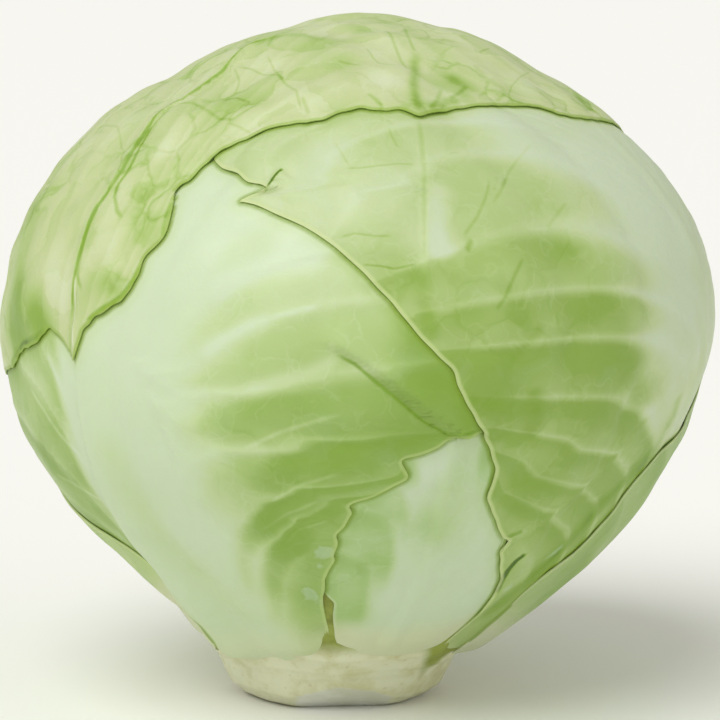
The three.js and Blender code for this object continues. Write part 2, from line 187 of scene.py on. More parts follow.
def finer(grid, times):
    """The same grid of points with others evenly between them."""
    for axis in (0, 1):
        count = grid.shape[axis]
        low, high = np.take(grid, range(count - 1), axis), np.take(grid, range(1, count), axis)
        steps = [low + (high - low) * k / times for k in range(times)]
        last = np.take(grid, [-1], axis)
        shape = [n * times if k == axis else n for k, n in enumerate(low.shape)]
        grid = np.concatenate([np.stack(steps, axis + 1).reshape(*shape), last], axis)
    return grid


def grow_skin(points):
    between = finer(points, 4)
    distance = np.linalg.norm(between, axis=-1)
    d = between / distance[..., None]
    np.maximum.at(skin, cell_of(d).ravel(), (distance - heart_surface(d)).ravel())


skin = np.zeros(6 * CELLS * CELLS)
print("skin:", skin.size, "cells,", round(2 * RADIUS / CELLS, 2), "mm wide or less")

# %% [markdown]
# ## How a leaf is written down
# Each leaf is described on a chart centred on its middle, with its midrib running straight down to the base.
# `edge` is its outline as polar angle and azimuth, and it is the outline of the imported solid. `rib` is the
# midrib's height and its reach to either side, in millimetres, and `flank` a broad swell beside it. `side_ribs`
# is the spacing of the side ribs, and `curve` how steeply they rise and how soon they level out. `curl` is how
# far the margin lifts, and in how many waves. `stiff` is how far a leaf bridges a step below it, `crinkle` how
# bumpy it is, and `relax` how often its mesh is evened out. `root` is how far its base is grown into the stump.
#
# `green` is how green it is near the base and near the tip, and where along it that changes. `pale_left` and
# `pale_right` say how far the pale flesh reaches beside the midrib at some heights. `folds` are creases, where
# the blade steps up on the left of a line. `patches` and `lines` make the green deeper or, below zero, paler:
# first the amount, then the radius or the width in millimetres. `bands` are wide soft lines. `flesh` is how
# white the flesh is, `stump_share` how far the base takes the stump's colour, and `wax` marks thick bloom.
# Some patches, lines and bands are painted shade or painted highlights; each leaf says which.

# %% [markdown]
# ## The inner front leaf
# Low at the front, between the two large leaves, a piece of the leaf below them shows. It is pale and a little
# bluish, because it has seen less light. Only its base is in view, so its upper outline is a plain guess.

# %% The inner front leaf
INNER_FRONT = {
    "name": "leaf_1_inner_front", "slot": "inner_leaf", "cells": 130, "middle": (100, 15), "seed": 1,
    "rib": (0.9, 4, 5), "side_ribs": 13, "curve": (0.6, 4), "curl": (0.05, 7), "stiff": 3, "crinkle": 0.05,
    "green": (0.56, 0.47, 0.2, 0.75), "rib_paint": 0.3, "flesh": 0.85, "root": 0.8, "pale_left": [(-90, 14),
    (-76, 13), (-62, 12), (-30, 10), (60, 6)], "pale_right": [(-90, 60), (-66, 46), (-40, 34), (-10, 8),
    (60, 4)],
    "edge": [
        (155, 16), (154.2, 7), (152.6, 0), (150.3, -2.4), (147, -3.2), (142.2, -4), (138.4, -4.4), (130, -12),
        (120, -21), (105, -28), (85, -30), (68, -24), (50, -14), (38, 15), (52, 40), (70, 46), (88, 46),
        (105, 43), (118, 38.5), (127, 38), (134.6, 40), (142.3, 40.8), (149.6, 40), (153.6, 36.5), (155.2, 28),
    ],
    "patches": [
        (0.3, 6, 119, 12.6), (0.2, 5, 115.7, 2.8), (0.25, 6, 126.6, 2.6), (0.35, 7, 140.7, 0.6),
        (0.2, 5, 106.9, 16), (-0.3, 6, 106.7, 12.8), (-0.25, 5, 111.9, 6.8), (0.22, 9, 109.7, 17),
        (0.12, 8, 115.3, 16.1), (0.12, 8, 121.6, 15.4), (-0.1, 7, 123.7, 6.2), (-0.12, 7, 138.4, 4.8),
        (0.15, 6, 134.6, -5.3),
    ],
}
print(INNER_FRONT["name"], "outline points:", len(INNER_FRONT["edge"]))

# %% [markdown]
# ## The front left leaf
# The largest leaf in view has the thick white midrib that runs down to the stump. Its side ribs fan out to the
# right, and its right margin is nibbled and ends in a small pleat. The places of its ribs on the right half are
# given one by one, as the photograph shows them. A thin dark line at the foot of the pleat and a soft green
# stripe in the groove to the right of the midrib are painted shade.

# %% The front left leaf
FRONT_LEFT = {
    "name": "leaf_2_front_left", "slot": "leaf", "cells": 222, "middle": (88, -46), "seed": 2,
    "rib": (2.8, 6.5, 14), "flank": (0.4, 25, 9), "side_ribs": 12, "side_height": 0.65, "curve": (1.0, 4),
    "curl": (0.06, 13), "stiff": 3, "crinkle": 0.07, "green": (0.86, 0.3, 0.4, 0.62), "rib_paint": 0.5,
    "flesh": 0.93, "root": 1.0, "stump_share": 0.55, "ribs_right": [-0.93, -0.88, -0.83, -0.735, -0.615, -0.53,
    -0.46, -0.37, -0.27, -0.17, -0.07, 0.04], "pale_left": [(-110, 9), (-60, 9), (-20, 12), (60, 16)],
    "pale_right": [(-105, 42), (-94, 36), (-75, 37), (-55, 41), (-30, 43), (-12, 42), (11, 44), (25, 52),
    (40, 62), (90, 80)], "wax": [(4, 126.7, -7.1), (3, 135, -10.5), (3, 123.1, -6), (1, 123.6, -25.3)],
    "edge": [
        (159.8, -46), (159.4, -54), (156, -58), (148, -64), (135, -76), (120, -92), (105, -104), (85, -112),
        (65, -116), (45, -112), (28, -95), (19, -46), (28, -10), (40, 8), (55, 20), (70, 27), (85, 29),
        (97, 27), (100.4, 22), (101.8, 17.5), (102.2, 14.2), (103.5, 12.8), (104.6, 10.2), (105.5, 6.9),
        (108.5, 8), (109.9, 6), (111.9, 2.3), (113.5, -1.5), (114.9, -1), (117.1, -2), (119.3, -3.7),
        (121.3, -3.6), (124.2, -4.5), (125.6, -4.4), (128.7, -5.7), (134, -6.6), (139.4, -6.7), (143.2, -6),
        (147.8, -4.9), (152.6, -3.6), (155.6, -6.5), (157.8, -17), (159.4, -30),
    ],
    "folds": [
        (1.7, 5, [(86.6, -6.9), (88, -2.6), (91.2, 2.4), (95.5, 7.6), (99.2, 12.2), (101.9, 16.2),
        (103.5, 18.5)]),
    ],
    "patches": [
        (0.12, 6, 102.1, -19.6), (0.2, 7, 108.5, -13.9), (0.2, 8, 116.1, -15.9), (0.15, 8, 122.1, -10.5),
        (0.15, 8, 132.3, -13.6), (0.15, 6, 142.5, -12.1), (0.12, 5, 147.1, -8.2), (0.17, 8, 101.5, -2.7),
        (0.17, 8, 104.8, 3.3), (0.15, 7, 101.6, 9.3), (0.12, 8, 106.5, -5.9), (0.12, 8, 95.3, 6.1),
        (0.11, 6, 95.5, 12), (0.07, 8, 95.4, -8.4), (0.07, 8, 85.1, -1.2), (0.06, 8, 88.1, -8.4),
        (0.07, 6, 93.6, -21.3), (0.07, 6, 85.7, -23.7), (0.05, 8, 72, -19), (0.15, 4, 110.2, -66.8),
        (0.15, 4, 112.9, -57.1), (0.15, 4, 121.3, -57.6), (-0.25, 6, 73.9, -27.3), (-0.25, 8, 65.5, -25.1),
        (-0.2, 6, 71.7, -9.2), (-0.15, 8, 88, -35.8), (-0.15, 6, 108.2, -33.2), (-0.2, 6, 119.5, -31.3),
        (0.2, 6, 127.6, -11.2), (0.3, 7, 137.6, -10), (0.35, 6, 149.2, -7.5), (0.6, 5, 155, -8),
        (0.2, 7, 133, -15.4), (0.12, 6, 112.9, -18.5), (0.12, 5, 120.3, -17.2), (0.1, 6, 134.8, -21.2),
        (0.15, 5, 115.9, -3.9), (0.25, 6, 87.3, 6.8), (0.3, 6, 90.2, 9.7), (0.22, 5, 93.2, 11.9),
        (0.25, 5, 97.2, 15.9), (0.3, 4, 100.3, 16.9), (0.15, 5, 101.7, 4.8), (0.15, 5, 100.6, 10.9),
        (0.1, 8, 120, -11.2), (0.15, 6, 143.5, -15.7), (0.3, 6, 110.4, -67.3), (0.25, 5, 120.9, -64.2),
        (0.2, 5, 127.2, -64.2), (-0.15, 8, 99.7, -63.7), (-0.15, 8, 95.4, -54.8), (-0.1, 6, 105.7, -53.6),
    ],
    "lines": [
        # Painted shade: the first line, thin and dark along the foot of the pleat.
        (0.55, 0.6, [(88.6, -3.3), (90.1, -0.4), (92.5, 2.4), (95, 5.4), (97, 7.6), (99, 9.9), (100.4, 12.3),
        (102, 14.7)]), (-0.25, 1.0, [(83.6, -12.9), (82.6, -9.3), (81.8, -6)]), (-0.2, 0.8, [(103.1, -17.3),
        (100.4, -11.6), (98.4, -5.6), (97.6, -2.6)]), (-0.17, 0.7, [(112.2, -14.1), (109.1, -9.2),
        (107, -2.8)]), (-0.15, 0.7, [(118.2, -16.8), (114.9, -12.2), (111.9, -6.1)]),
        (-0.15, 0.6, [(121.1, -13.2), (117.8, -10), (115.9, -4.7)]), (-0.25, 0.9, [(110.5, -51), (107.7, -52.9),
        (105.3, -56.6), (101.8, -60.7), (98.7, -66.2)]), (-0.25, 1.2, [(103, -50.1), (98.8, -52.1), (95.2, -55),
        (91.9, -57.6)]), (-0.2, 0.8, [(116.9, -52), (115.7, -55.9), (114.6, -60.8), (113.8, -67.3)]),
    ],
    # Painted shade: the last band, a soft green stripe in the groove to the right of the midrib.
    "bands": [
        (-0.27, 1.6, [(89.8, -23.6), (87, -20.1), (84.7, -15.9), (83.4, -12.2)]), (-0.27, 1.6, [(94.5, -17.4),
        (92.7, -12.1), (91.2, -6.9), (89.1, -1.9)]), (-0.23, 2.6, [(80.9, -23.4), (78.6, -18.8), (76.2, -13.5),
        (75.2, -8.9), (74.5, -3.5)]), (0.16, 4.5, [(101.8, -44.2), (107.5, -42.4), (114.7, -41.3),
        (122.7, -39.9), (130.9, -37.1), (140, -32.4), (148, -24.8)]),
    ],
}
print(FRONT_LEFT["name"], "outline points:", len(FRONT_LEFT["edge"]))

# %% [markdown]
# ## The front right leaf
# This leaf lies over the left one and has a curled and torn tip near the crown. A soft ridge runs down its
# middle, and its flesh is pale at the right. Beside the ridge, a pale band to its right is a painted highlight and
# a thin darker line to its left is painted shade, and two pale spots near the top are painted highlights. The tip
# and the slits are a fold and a few dark lines, because a hole in so thin a blade would not be seen; the longest
# slit, low at the right, is painted shadow under a lifted stretch of the margin.

# %% The front right leaf
FRONT_RIGHT = {
    "name": "leaf_3_front_right", "slot": "leaf", "cells": 222, "middle": (82, 72), "seed": 3,
    "rib": (0.9, 10, 10), "side_ribs": 13, "curve": (0.4, 4), "curl": (0.06, 11), "stiff": 3, "crinkle": 0.08,
    "green": (0.9, 0.42, 0.45, 0.8), "rib_paint": 0.5, "flesh": 0.8, "root": 1.0, "stump_share": 0.2,
    "ribs_left": [-0.92, -0.83, -0.75, -0.66, -0.55, -0.395, -0.275, -0.145, 0.01, 0.12, 0.24, 0.36, 0.5, 0.66,
    0.85], "pale_left": [(-80, 3), (-60, 6), (-45, 14), (-33, 27), (-18, 35), (-1, 37), (14, 45), (28, 50),
    (45, 54), (80, 80)], "pale_right": [(-80, 20), (-30, 30), (60, 50)], "wax": [(4, 132.8, 40.2),
    (3.5, 130.1, 45.4), (3, 127.7, 47.6), (3, 137, 41)],
    "edge": [
        (159.6, 72), (159.3, 60), (157.6, 47), (153.6, 41.3), (147, 40.4), (140.8, 38.6), (133.8, 35.5),
        (128.2, 31.2), (126, 29.8), (123.5, 30.6), (122.4, 28.7), (117.8, 25.2), (114.3, 23.1), (107.8, 22.8),
        (104.1, 21.2), (100.4, 18.8), (95.2, 15.6), (91.2, 13.7), (86.9, 9.7), (82.8, 6.3), (78.3, 2.5),
        (72.8, -3.6), (69.6, -8.6), (67.4, -13.8), (65.7, -18.6), (65.5, -20.6), (64.2, -18.6), (63.1, -16.3),
        (62.4, -17.2), (61.9, -20.1), (60.1, -22.9), (58.7, -27.2), (56, -30.5), (50, -31), (42, -29),
        (32, -20), (22, 15), (20, 72), (30, 125), (50, 136), (70, 134), (90, 128), (110, 120), (130, 110),
        (148, 100), (156.5, 92), (159.3, 84),
    ],
    "folds": [
        (0.5, 6, [(48.7, 13.4), (59.6, 12), (68.5, 10.8), (75.6, 9.8), (82.3, 10), (87.4, 10.9)]),
        (0.9, 3, [(59.6, -13.7), (60.8, -14.9), (62.3, -15.7), (63.4, -16.4)]),
    ],
    "patches": [
        (0.16, 5, 84.2, 34.1), (0.19, 6, 83.8, 39), (0.16, 4, 85.7, 43.9), (0.19, 6, 92.1, 40.5),
        (0.16, 6, 93.5, 47.3), (0.09, 6, 92.3, 33.7), (0.16, 6, 100.5, 39.8), (0.16, 5, 101.5, 48.1),
        (0.08, 6, 100.8, 33.9), (0.14, 5, 76, 35.9), (0.12, 6, 75, 32.3), (0.08, 10, 73.9, 26.2),
        (0.08, 8, 69, 24.8), (0.12, 8, 91.4, 21), (0.14, 6, 95.7, 18.1), (0.14, 7, 96, 23.7),
        (0.11, 10, 109.6, 28.6), (0.14, 8, 115.1, 43.7), (0.11, 8, 110.2, 34.7), (0.16, 5, 120, 50.1),
        (0.11, 8, 115.2, 28.4), (0.14, 6, 77.9, 7.8), (0.11, 5, 74.5, 6.5), (0.08, 8, 79.5, 15.4),
        (0.16, 2.5, 79.8, 22.9), (0.14, 4, 84.3, 24.5), (0.11, 6, 92.7, 16.4), (0.11, 8, 63.6, 19.8),
        (0.08, 7, 62.2, 31.3), (0.08, 7, 67.6, 45.5), (-0.17, 6, 56.4, -5.4), (-0.15, 8, 65, 3.7),
        # Painted highlights: the pale spots at (51.6, 31.6) and (57.4, 52.3).
        (-0.2, 6, 71.7, 9), (-0.25, 3.5, 73.4, 13.7), (-0.12, 8, 63.3, -10.1), (-0.15, 10, 51.6, 31.6),
        (-0.2, 10, 57.4, 52.3), (-0.25, 12, 66, 59.5), (-0.2, 8, 75.3, 65.6), (-0.2, 8, 84.6, 62.8),
        (-0.2, 8, 88, 52.2), (-0.17, 3, 93.9, 51.1), (-0.25, 3, 101.4, 53.5), (-0.2, 4, 94.3, 66.7),
        (-0.15, 6, 80.9, 10.5), (-0.12, 6, 82, 21.1), (-0.1, 6, 79.2, 47.1), (-0.1, 6, 84.4, 45.5),
        (-0.1, 6, 97.4, 30.8), (-0.1, 6, 104.4, 32.3), (-0.1, 6, 113.7, 23), (-0.1, 6, 115, 37.6),
        (0.25, 5, 98.8, 49.9), (0.3, 5, 105.5, 62), (0.2, 5, 98.3, 65.7), (0.25, 5, 110, 60.8),
        (0.15, 5, 94.6, 68.4), (0.12, 10, 53.7, 53), (0.1, 10, 54.6, 25.3), (0.12, 8, 70.3, 35.3),
    ],
    "lines": [
        # Painted shade: the first line, in the groove along the left of the middle ridge.
        (0.2, 0.9, [(48.7, 13.4), (53.3, 12.9), (59.6, 12), (68.5, 10.8), (75.2, 10.2)]),
        (0.23, 0.4, [(59.5, -2.4), (59.5, 0.7), (59.1, 4.1), (58.7, 7.8), (58.8, 10.6)]),
        (0.23, 0.4, [(71.3, -2.8), (70.7, -0.5), (71.2, 2.7), (71.2, 5.4)]), (0.28, 0.4, [(75.5, 0.6),
        (75.7, 3.4), (76.2, 5.6), (75.5, 9.2)]), (0.15, 0.4, [(56.6, 17.6), (56.1, 20.2)]),
        (0.17, 0.5, [(54, -4.6), (56.4, -3.1), (59.1, -1.5)]), (0.2, 0.5, [(50.9, 6.4), (53.2, 6.9),
        (55.4, 7.7)]), (0.2, 0.6, [(61.9, 24.2), (65.4, 22.1), (68.3, 19.9), (71.6, 16.7)]),
        (0.35, 1.0, [(72, 18.1), (73.8, 17)]), (0.16, 0.6, [(54.3, 38.9), (57.3, 33.4), (60.1, 29.3),
        (63.4, 26.2), (66.3, 23.1)]), (0.2, 0.8, [(61.4, 28), (62.9, 26.4)]), (0.14, 0.7, [(66.3, 39.1),
        (68.8, 35.1), (70.7, 32.4)]), (0.2, 0.7, [(75.1, 26.3), (77.6, 24.2), (81, 22.1), (82.7, 20.6)]),
        # Painted shadow: the strongest line, under a lifted stretch of the margin low at the right, which looks
        # like a slit.
        (2.3, 1.0, [(127, 36.9), (128.8, 35.6), (131.1, 35.3), (134.2, 36.1), (137.9, 38)]),
        (1.8, 0.6, [(59.6, -13.7), (60.8, -14.9), (62.3, -15.7), (63.4, -16.4)]), (0.45, 1.0, [(122.5, 29.6),
        (121.8, 31), (121.3, 32.6)]),
    ],
    "bands": [
        # Painted highlight: the pale band that starts on this line, just right of the middle ridge.
        (0.2, 1.9, [(75.6, 9.5), (80.1, 9.8), (84.5, 10.5), (87.4, 10.9)]), (-0.36, 3.0, [(61.5, 14.4),
        (66.9, 13.2), (71.8, 12.6), (75.2, 12.2)]), (0.15, 1.2, [(84.8, 28.6), (87.3, 25.9), (89.6, 23.4),
        (91.5, 21.8)]), (0.6, 2.8, [(148.9, 43.6), (141.6, 43.9), (137.7, 45.4), (132.4, 46.7), (127.7, 48.8),
        (124, 51), (119, 53), (113.9, 57.7), (110.3, 61.7), (107.6, 63.9)]), (0.36, 2.0, [(99.2, 61.8),
        (102.8, 63.8), (105.9, 63)]), (0.25, 2.2, [(94, 26.5), (97.1, 27.4), (100.2, 27.7), (102.6, 26.7)]),
    ],
}
print(FRONT_RIGHT["name"], "outline points:", len(FRONT_RIGHT["edge"]))

# %% [markdown]
# ## The back left leaf
# Only a narrow strip of this leaf shows, low at the left. The rest of it wraps the back of the head.

# %% The back left leaf
BACK_LEFT = {
    "name": "leaf_4_back_left", "slot": "outer_leaf", "cells": 140, "middle": (117, -121), "seed": 4,
    "rib": (2.2, 9, 9), "side_ribs": 13, "curve": (0.6, 4), "curl": (0.05, 9), "stiff": 1, "crinkle": 0.08,
    "green": (0.45, 0.8, 0.2, 0.5), "rib_paint": 0.4, "flesh": 0.8, "root": 1.0, "pale_left": [(-80, 16),
    (80, 8)], "pale_right": [(-80, 30), (80, 10)],
    "edge": [
        (159.8, -110), (159.5, -80), (157, -56), (151.5, -49), (144.3, -51.6), (139.8, -52.5), (135.9, -53),
        (132.3, -54.7), (129.5, -57.2), (127, -64.2), (124.5, -74), (120, -86), (112, -96), (98, -102),
        (80, -105), (60, -110), (44, -120), (38, -137), (46, -155), (62, -168), (82, -174), (102, -175),
        (122, -172), (140, -166), (152, -165), (159, -158), (159.8, -135),
    ],
    "patches": [
        (0.3, 25, 110, -135), (0.2, 20, 120, -105),
    ],
}
print(BACK_LEFT["name"], "outline points:", len(BACK_LEFT["edge"]))

# %% [markdown]
# ## The right back leaf
# One of the lowest leaves wraps the head from the right. In front it ends in a long margin that rises from the
# stump along the right side.

# %% The right back leaf
RIGHT_BACK = {
    "name": "leaf_5_right_back", "slot": "outer_leaf", "cells": 145, "middle": (104, 117), "seed": 5,
    "rib": (2.2, 9, 9), "side_ribs": 13, "curve": (0.6, 4), "curl": (0.05, 10), "stiff": 1, "crinkle": 0.08,
    "green": (0.68, 0.8, 0.2, 0.5), "rib_paint": 0.4, "flesh": 0.8, "root": 1.0, "stump_share": 0.3,
    "pale_left": [(-80, 44), (-20, 28), (80, 8)], "pale_right": [(-80, 16), (80, 8)],
    "edge": [
        (159.8, 112), (159.8, 85), (159.2, 60), (154.5, 53.2), (150.5, 51.8), (145, 50.2), (139.8, 49.8),
        (135, 50.3), (132.2, 51.9), (129.8, 54.6), (127.4, 56.3), (124.6, 57.9), (120.6, 59.8), (116.2, 60.9),
        (113.9, 62), (112, 63.8), (110, 66.2), (108.4, 70), (107, 74), (105, 79), (100.5, 88.5), (93, 95),
        (80, 100), (64, 104), (50, 111), (42, 124), (44, 141), (55, 156), (75, 164), (95, 167), (115, 166),
        (135, 160), (150, 156), (159.4, 146),
    ],
    "patches": [
        (0.3, 25, 105, 140),
    ],
}
print(RIGHT_BACK["name"], "outline points:", len(RIGHT_BACK["edge"]))

# %% [markdown]
# ## The top leaf
# The last leaf wraps the crown like a cap and hangs down at the left in a point. It is the most blistered and
# bruised one, with a long fold at the left. The dark lines along that fold are partly its own deeper green and
# partly painted shade at the foot of the step. Its margin is wavy, so its mesh is evened out.

# %% The top leaf
TOP_CAP = {
    "name": "leaf_6_top_cap", "slot": "leaf", "cells": 222, "middle": (48, 178), "seed": 6, "rib": (2.4, 9, 9),
    "side_ribs": 16, "side_height": 0.65, "curve": (0.6, 4), "curl": (0.1, 17), "stiff": 5, "crinkle": 0.22,
    "relax": 400, "green": (0.75, 0.37, 0.15, 0.5), "rib_paint": 0.42, "rib_end": (0.4, 0.58), "flesh": 0.8,
    "root": 1.0, "pale_left": [(-150, 16), (-60, 10), (-20, 4), (10, 0.5)], "pale_right": [(-150, 16),
    (-60, 10), (-20, 4), (10, 0.5)],
    "edge": [
        (159.8, 178), (159.6, 194), (155, 200), (140, 207), (125, 218), (112, 234), (104, 256), (98.4, -82.5),
        (95.7, -72.1), (93.2, -67.9), (91, -61), (88.2, -56.6), (88.7, -54.7), (89.7, -52.4), (92.2, -48.6),
        (90.8, -47.5), (87.7, -46.2), (84.7, -43.2), (82.4, -39.5), (78.5, -37), (75.7, -36.6), (72.7, -34.2),
        (71.7, -33.6), (66, -34.3), (63.4, -35.4), (62.3, -34), (61.1, -32.5), (58.4, -31.1), (55.5, -28.3),
        (53.6, -24.8), (52.6, -22.7), (51, -19.5), (50.2, -14.8), (49.6, -9.4), (47.4, -3), (46.6, 0.5),
        (47.2, 5.5), (47, 9.7), (48.2, 13.5), (46.8, 17.3), (45, 25.3), (43.8, 37.9), (43.9, 44.8), (45, 54.3),
        (47, 58.6), (49.2, 67.8), (51.7, 79.7), (58, 100), (70, 115), (84, 127), (100, 137), (118, 147),
        (135, 155), (150, 158), (159.5, 162),
    ],
    "folds": [
        (1.0, 6, [(89.2, -49.5), (81, -50), (74.3, -50.8), (68.4, -51.5), (61.4, -49.7), (50.4, -53),
        (44, -50.9), (34.1, -49.6), (23.5, -51.1), (19.3, -41.7)]),
    ],
    "patches": [
        (0.55, 6, 91.5, -69.2), (0.5, 6, 86.2, -60.7), (0.5, 5, 85.6, -69), (0.22, 5, 71.3, -77.2),
        (0.19, 5, 67.3, -74.2), (0.39, 2.5, 35.8, 30.9), (0.28, 4, 37.9, 34.1), (0.28, 3, 80.2, -41.1),
        (0.22, 5, 79.7, -44.5), (0.19, 4, 69.6, -37.6), (0.22, 4, 65.5, -40.9), (0.28, 3, 14.6, 1.5),
        (0.22, 7, 23.9, -17.4), (0.17, 8, 34.1, -18.7), (0.17, 5, 44.2, -33.2), (0.17, 5, 30.2, -6.4),
        (0.28, 3, 46.6, 80.4), (0.19, 5, 31.9, 58.9), (0.17, 8, 26.7, 35.5), (-0.25, 4.5, 38.9, 7.5),
        (-0.2, 2.2, 40.9, 25.7), (-0.17, 2.2, 41.2, 33.5), (-0.17, 5, 39.9, -8.9), (-0.17, 6, 51.6, -41.5),
        (-0.2, 4, 56.2, -41.6), (-0.17, 4, 71, -44.9), (-0.2, 4, 74.2, -44.4), (-0.15, 3, 67.1, -37.7),
        (-0.17, 10, 77.6, -56.3), (-0.12, 6, 83.6, -53.4), (-0.15, 5, 17.3, -11.2), (-0.12, 5, 30.8, -34.9),
        (-0.15, 3, 47.7, -22.8), (-0.12, 6, 37.4, -57.1), (-0.15, 5, 65.7, -43.3), (0.2, 12, 77.7, -73.7),
        (0.35, 10, 85.5, -71.5), (0.5, 10, 91.2, -66.3), (0.12, 12, 73.2, -71.1), (0.08, 6, 57.3, -50.8),
        (0.25, 6, 45.4, -23.9), (0.12, 8, 27.3, -15), (0.15, 8, 11.5, 21.3), (0.3, 7, 37.5, 26.4),
        (0.25, 5, 41.5, 29.7), (0.2, 5, 45.5, 14.6), (0.2, 5, 33.4, -2.5), (0.15, 5, 40.7, -9.8),
        (0.2, 6, 40, 48.5), (0.15, 5, 46.9, 71), (0.4, 4, 88.6, -57.5), (0.2, 6, 73.9, -51.2),
        (0.2, 6, 71.6, -42.5), (0.2, 5, 71.8, -36.2), (0.2, 4, 83.1, -48.6), (0.1, 6, 34.7, -63.2),
        (0.1, 6, 55, -83.2),
    ],
    "lines": [
        # The first lines run along the fold: partly the leaf's own deeper green, partly painted shade at the foot
        # of its step.
        (0.56, 0.6, [(19.3, -41.7), (23.5, -51.1), (28.3, -52.8), (34.1, -49.6), (39.1, -50.8), (44, -50.9),
        (46.3, -53.3), (50.4, -53), (56.2, -51.1), (61.4, -49.7), (65.8, -50.6), (68.4, -51.5), (71, -51.3),
        (74.3, -50.8), (77.4, -50.5), (81, -50), (84, -49.8), (87.7, -49.6)]), (0.5, 0.8, [(50.6, -52.4),
        (54.3, -50.4), (58.2, -48.7), (61.3, -48.2), (63.8, -48.8), (66, -48.1), (68.2, -45.9), (69.8, -43.1)]),
        (0.4, 0.8, [(67.2, -51.7), (70, -51.5), (73.3, -50.9), (76.8, -50.3), (79.4, -49.6), (81.8, -47.4)]),
        (0.25, 0.5, [(32.5, -47.8), (36.5, -39.1), (41, -35.7)]), (0.28, 0.6, [(32.1, -48.5), (32.9, -38.6),
        (34.8, -30.4), (35.3, -25.7), (38.4, -21), (41.6, -16), (44.7, -14.1), (47.7, -12.5)]),
        (0.22, 0.5, [(28.5, -37.2), (32.9, -29.3), (37.5, -21.9)]), (0.3, 0.8, [(43.6, -13.7), (46.2, -12),
        (48.2, -10.8)]), (0.25, 0.8, [(45.5, -53.4), (44.8, -45.8), (46.6, -38.4), (48.6, -33.2), (48.9, -29.2),
        (46.6, -27), (43.5, -23.5)]), (0.22, 0.6, [(49.7, -29.8), (50.7, -26.2), (52, -22.8)]),
        (0.3, 0.7, [(13.4, 41.1), (20.3, 27), (24.5, 24.1), (27.2, 23.2)]), (0.3, 0.7, [(14.7, 19.3),
        (20.1, 17.4), (25.8, 16.1), (29.5, 15.9), (34, 16.1)]), (0.3, 0.9, [(39.5, 23.9), (43.2, 20.4),
        (45.8, 17.2)]), (0.3, 0.9, [(37.9, 34.1), (40.4, 29.1), (42.7, 24)]), (0.25, 0.7, [(30.9, -7),
        (32, -2.7), (32.8, 1.3)]), (0.25, 0.5, [(24.7, 3.5), (29.4, 5.5), (32.1, 7.4), (32.5, 14.1)]),
        (0.3, 0.8, [(42.9, 2.5), (44.6, 4.1), (46.4, 5.6)]), (0.31, 0.5, [(27.7, 66.5), (28.8, 53.5)]),
        (0.25, 0.4, [(41.8, 45.1), (38.8, 51.4), (36.6, 61.1), (35.7, 74.3)]), (0.3, 0.8, [(43, 38.9),
        (41.1, 44.5), (42.7, 45.6), (43.9, 49.4)]), (0.19, 0.5, [(54.3, -81), (52.8, -74.6), (52.4, -66.3),
        (54.1, -61.2), (56.6, -56.4), (58, -52.2)]), (-0.5, 0.4, [(79.6, -50), (83.2, -49.2), (87.6, -48.4),
        (90.3, -48)]), (0.56, 0.9, [(76.1, -36.7), (79.3, -37.6), (81.9, -39.6), (84.3, -43.3), (86.3, -45.5)]),
        (0.7, 1.3, [(96.8, -75.9), (94.3, -70), (91.7, -66.1), (90.5, -60.9), (88.7, -57.5)]),
        (0.43, 0.8, [(72.1, -33.9), (68.4, -34.5), (65.5, -34.6)]),
    ],
    "bands": [
        (0.28, 1.5, [(26, -52.3), (22.6, -47.8), (19.7, -40.6), (19.9, -27), (22.6, -13.5)]),
        (0.55, 1.5, [(26.4, 24.1), (34.1, 18.4), (40, 15), (44.2, 14.3), (48, 14.1)]),
        (0.55, 1.7, [(46.6, 15.9), (44.6, 20.3), (43.5, 23.5), (43.1, 27.7)]), (0.44, 1.5, [(43.6, 87.9),
        (46.4, 78.1), (49.4, 76.5)]),
    ],
}
print(TOP_CAP["name"], "outline points:", len(TOP_CAP["edge"]))

# %% [markdown]
# ## The order of the leaves
# The leaves are laid from the innermost to the outermost, so each later one lies over the ones before it.

# %% All the leaves
LEAVES = [INNER_FRONT, FRONT_LEFT, FRONT_RIGHT, BACK_LEFT, RIGHT_BACK, TOP_CAP]
print("leaves:", [leaf["name"] for leaf in LEAVES])

# %% [markdown]
# ## The chart of a leaf
# On the chart a point has a bearing, as on a compass, and a distance in degrees from the leaf's middle. A flat
# drawing wrapped round the head would stretch at its ends, and a chart round the leaf's own middle does not.


# %% Chart of a leaf
def chart_of(middle):
    polar, azimuth = middle
    out = direction(polar, azimuth)
    right = np.array([math.cos(azimuth * DEGREE), math.sin(azimuth * DEGREE), 0])
    up = -np.cross(right, out)

    def place(bearing, distance):
        away, bearing = np.sin(distance * DEGREE), bearing * DEGREE
        flat = (away * np.sin(bearing))[..., None] * right + (away * np.cos(bearing))[..., None] * up
        return np.cos(distance * DEGREE)[..., None] * out + flat

    def read(d):
        bearing = np.arctan2(d @ right, d @ up) / DEGREE
        return bearing, np.arccos(np.clip(d @ out, -1, 1)) / DEGREE

    return place, read


print("bearing and distance of a place on the top leaf:", chart_of((48, 178))[1](direction(20, 178)))

# %% [markdown]
# ## The margin
# The margin is a smooth closed curve through the outline's corners, with a fine raggedness on top, since an outer
# leaf is bruised and nibbled at its margin. The raggedness calms down at the base, which the stump hides.

# %% Margin of a leaf
RAGGED = 0.1  # height of the margin's small teeth, in millimetres
TOOTH = 11.0  # their usual width


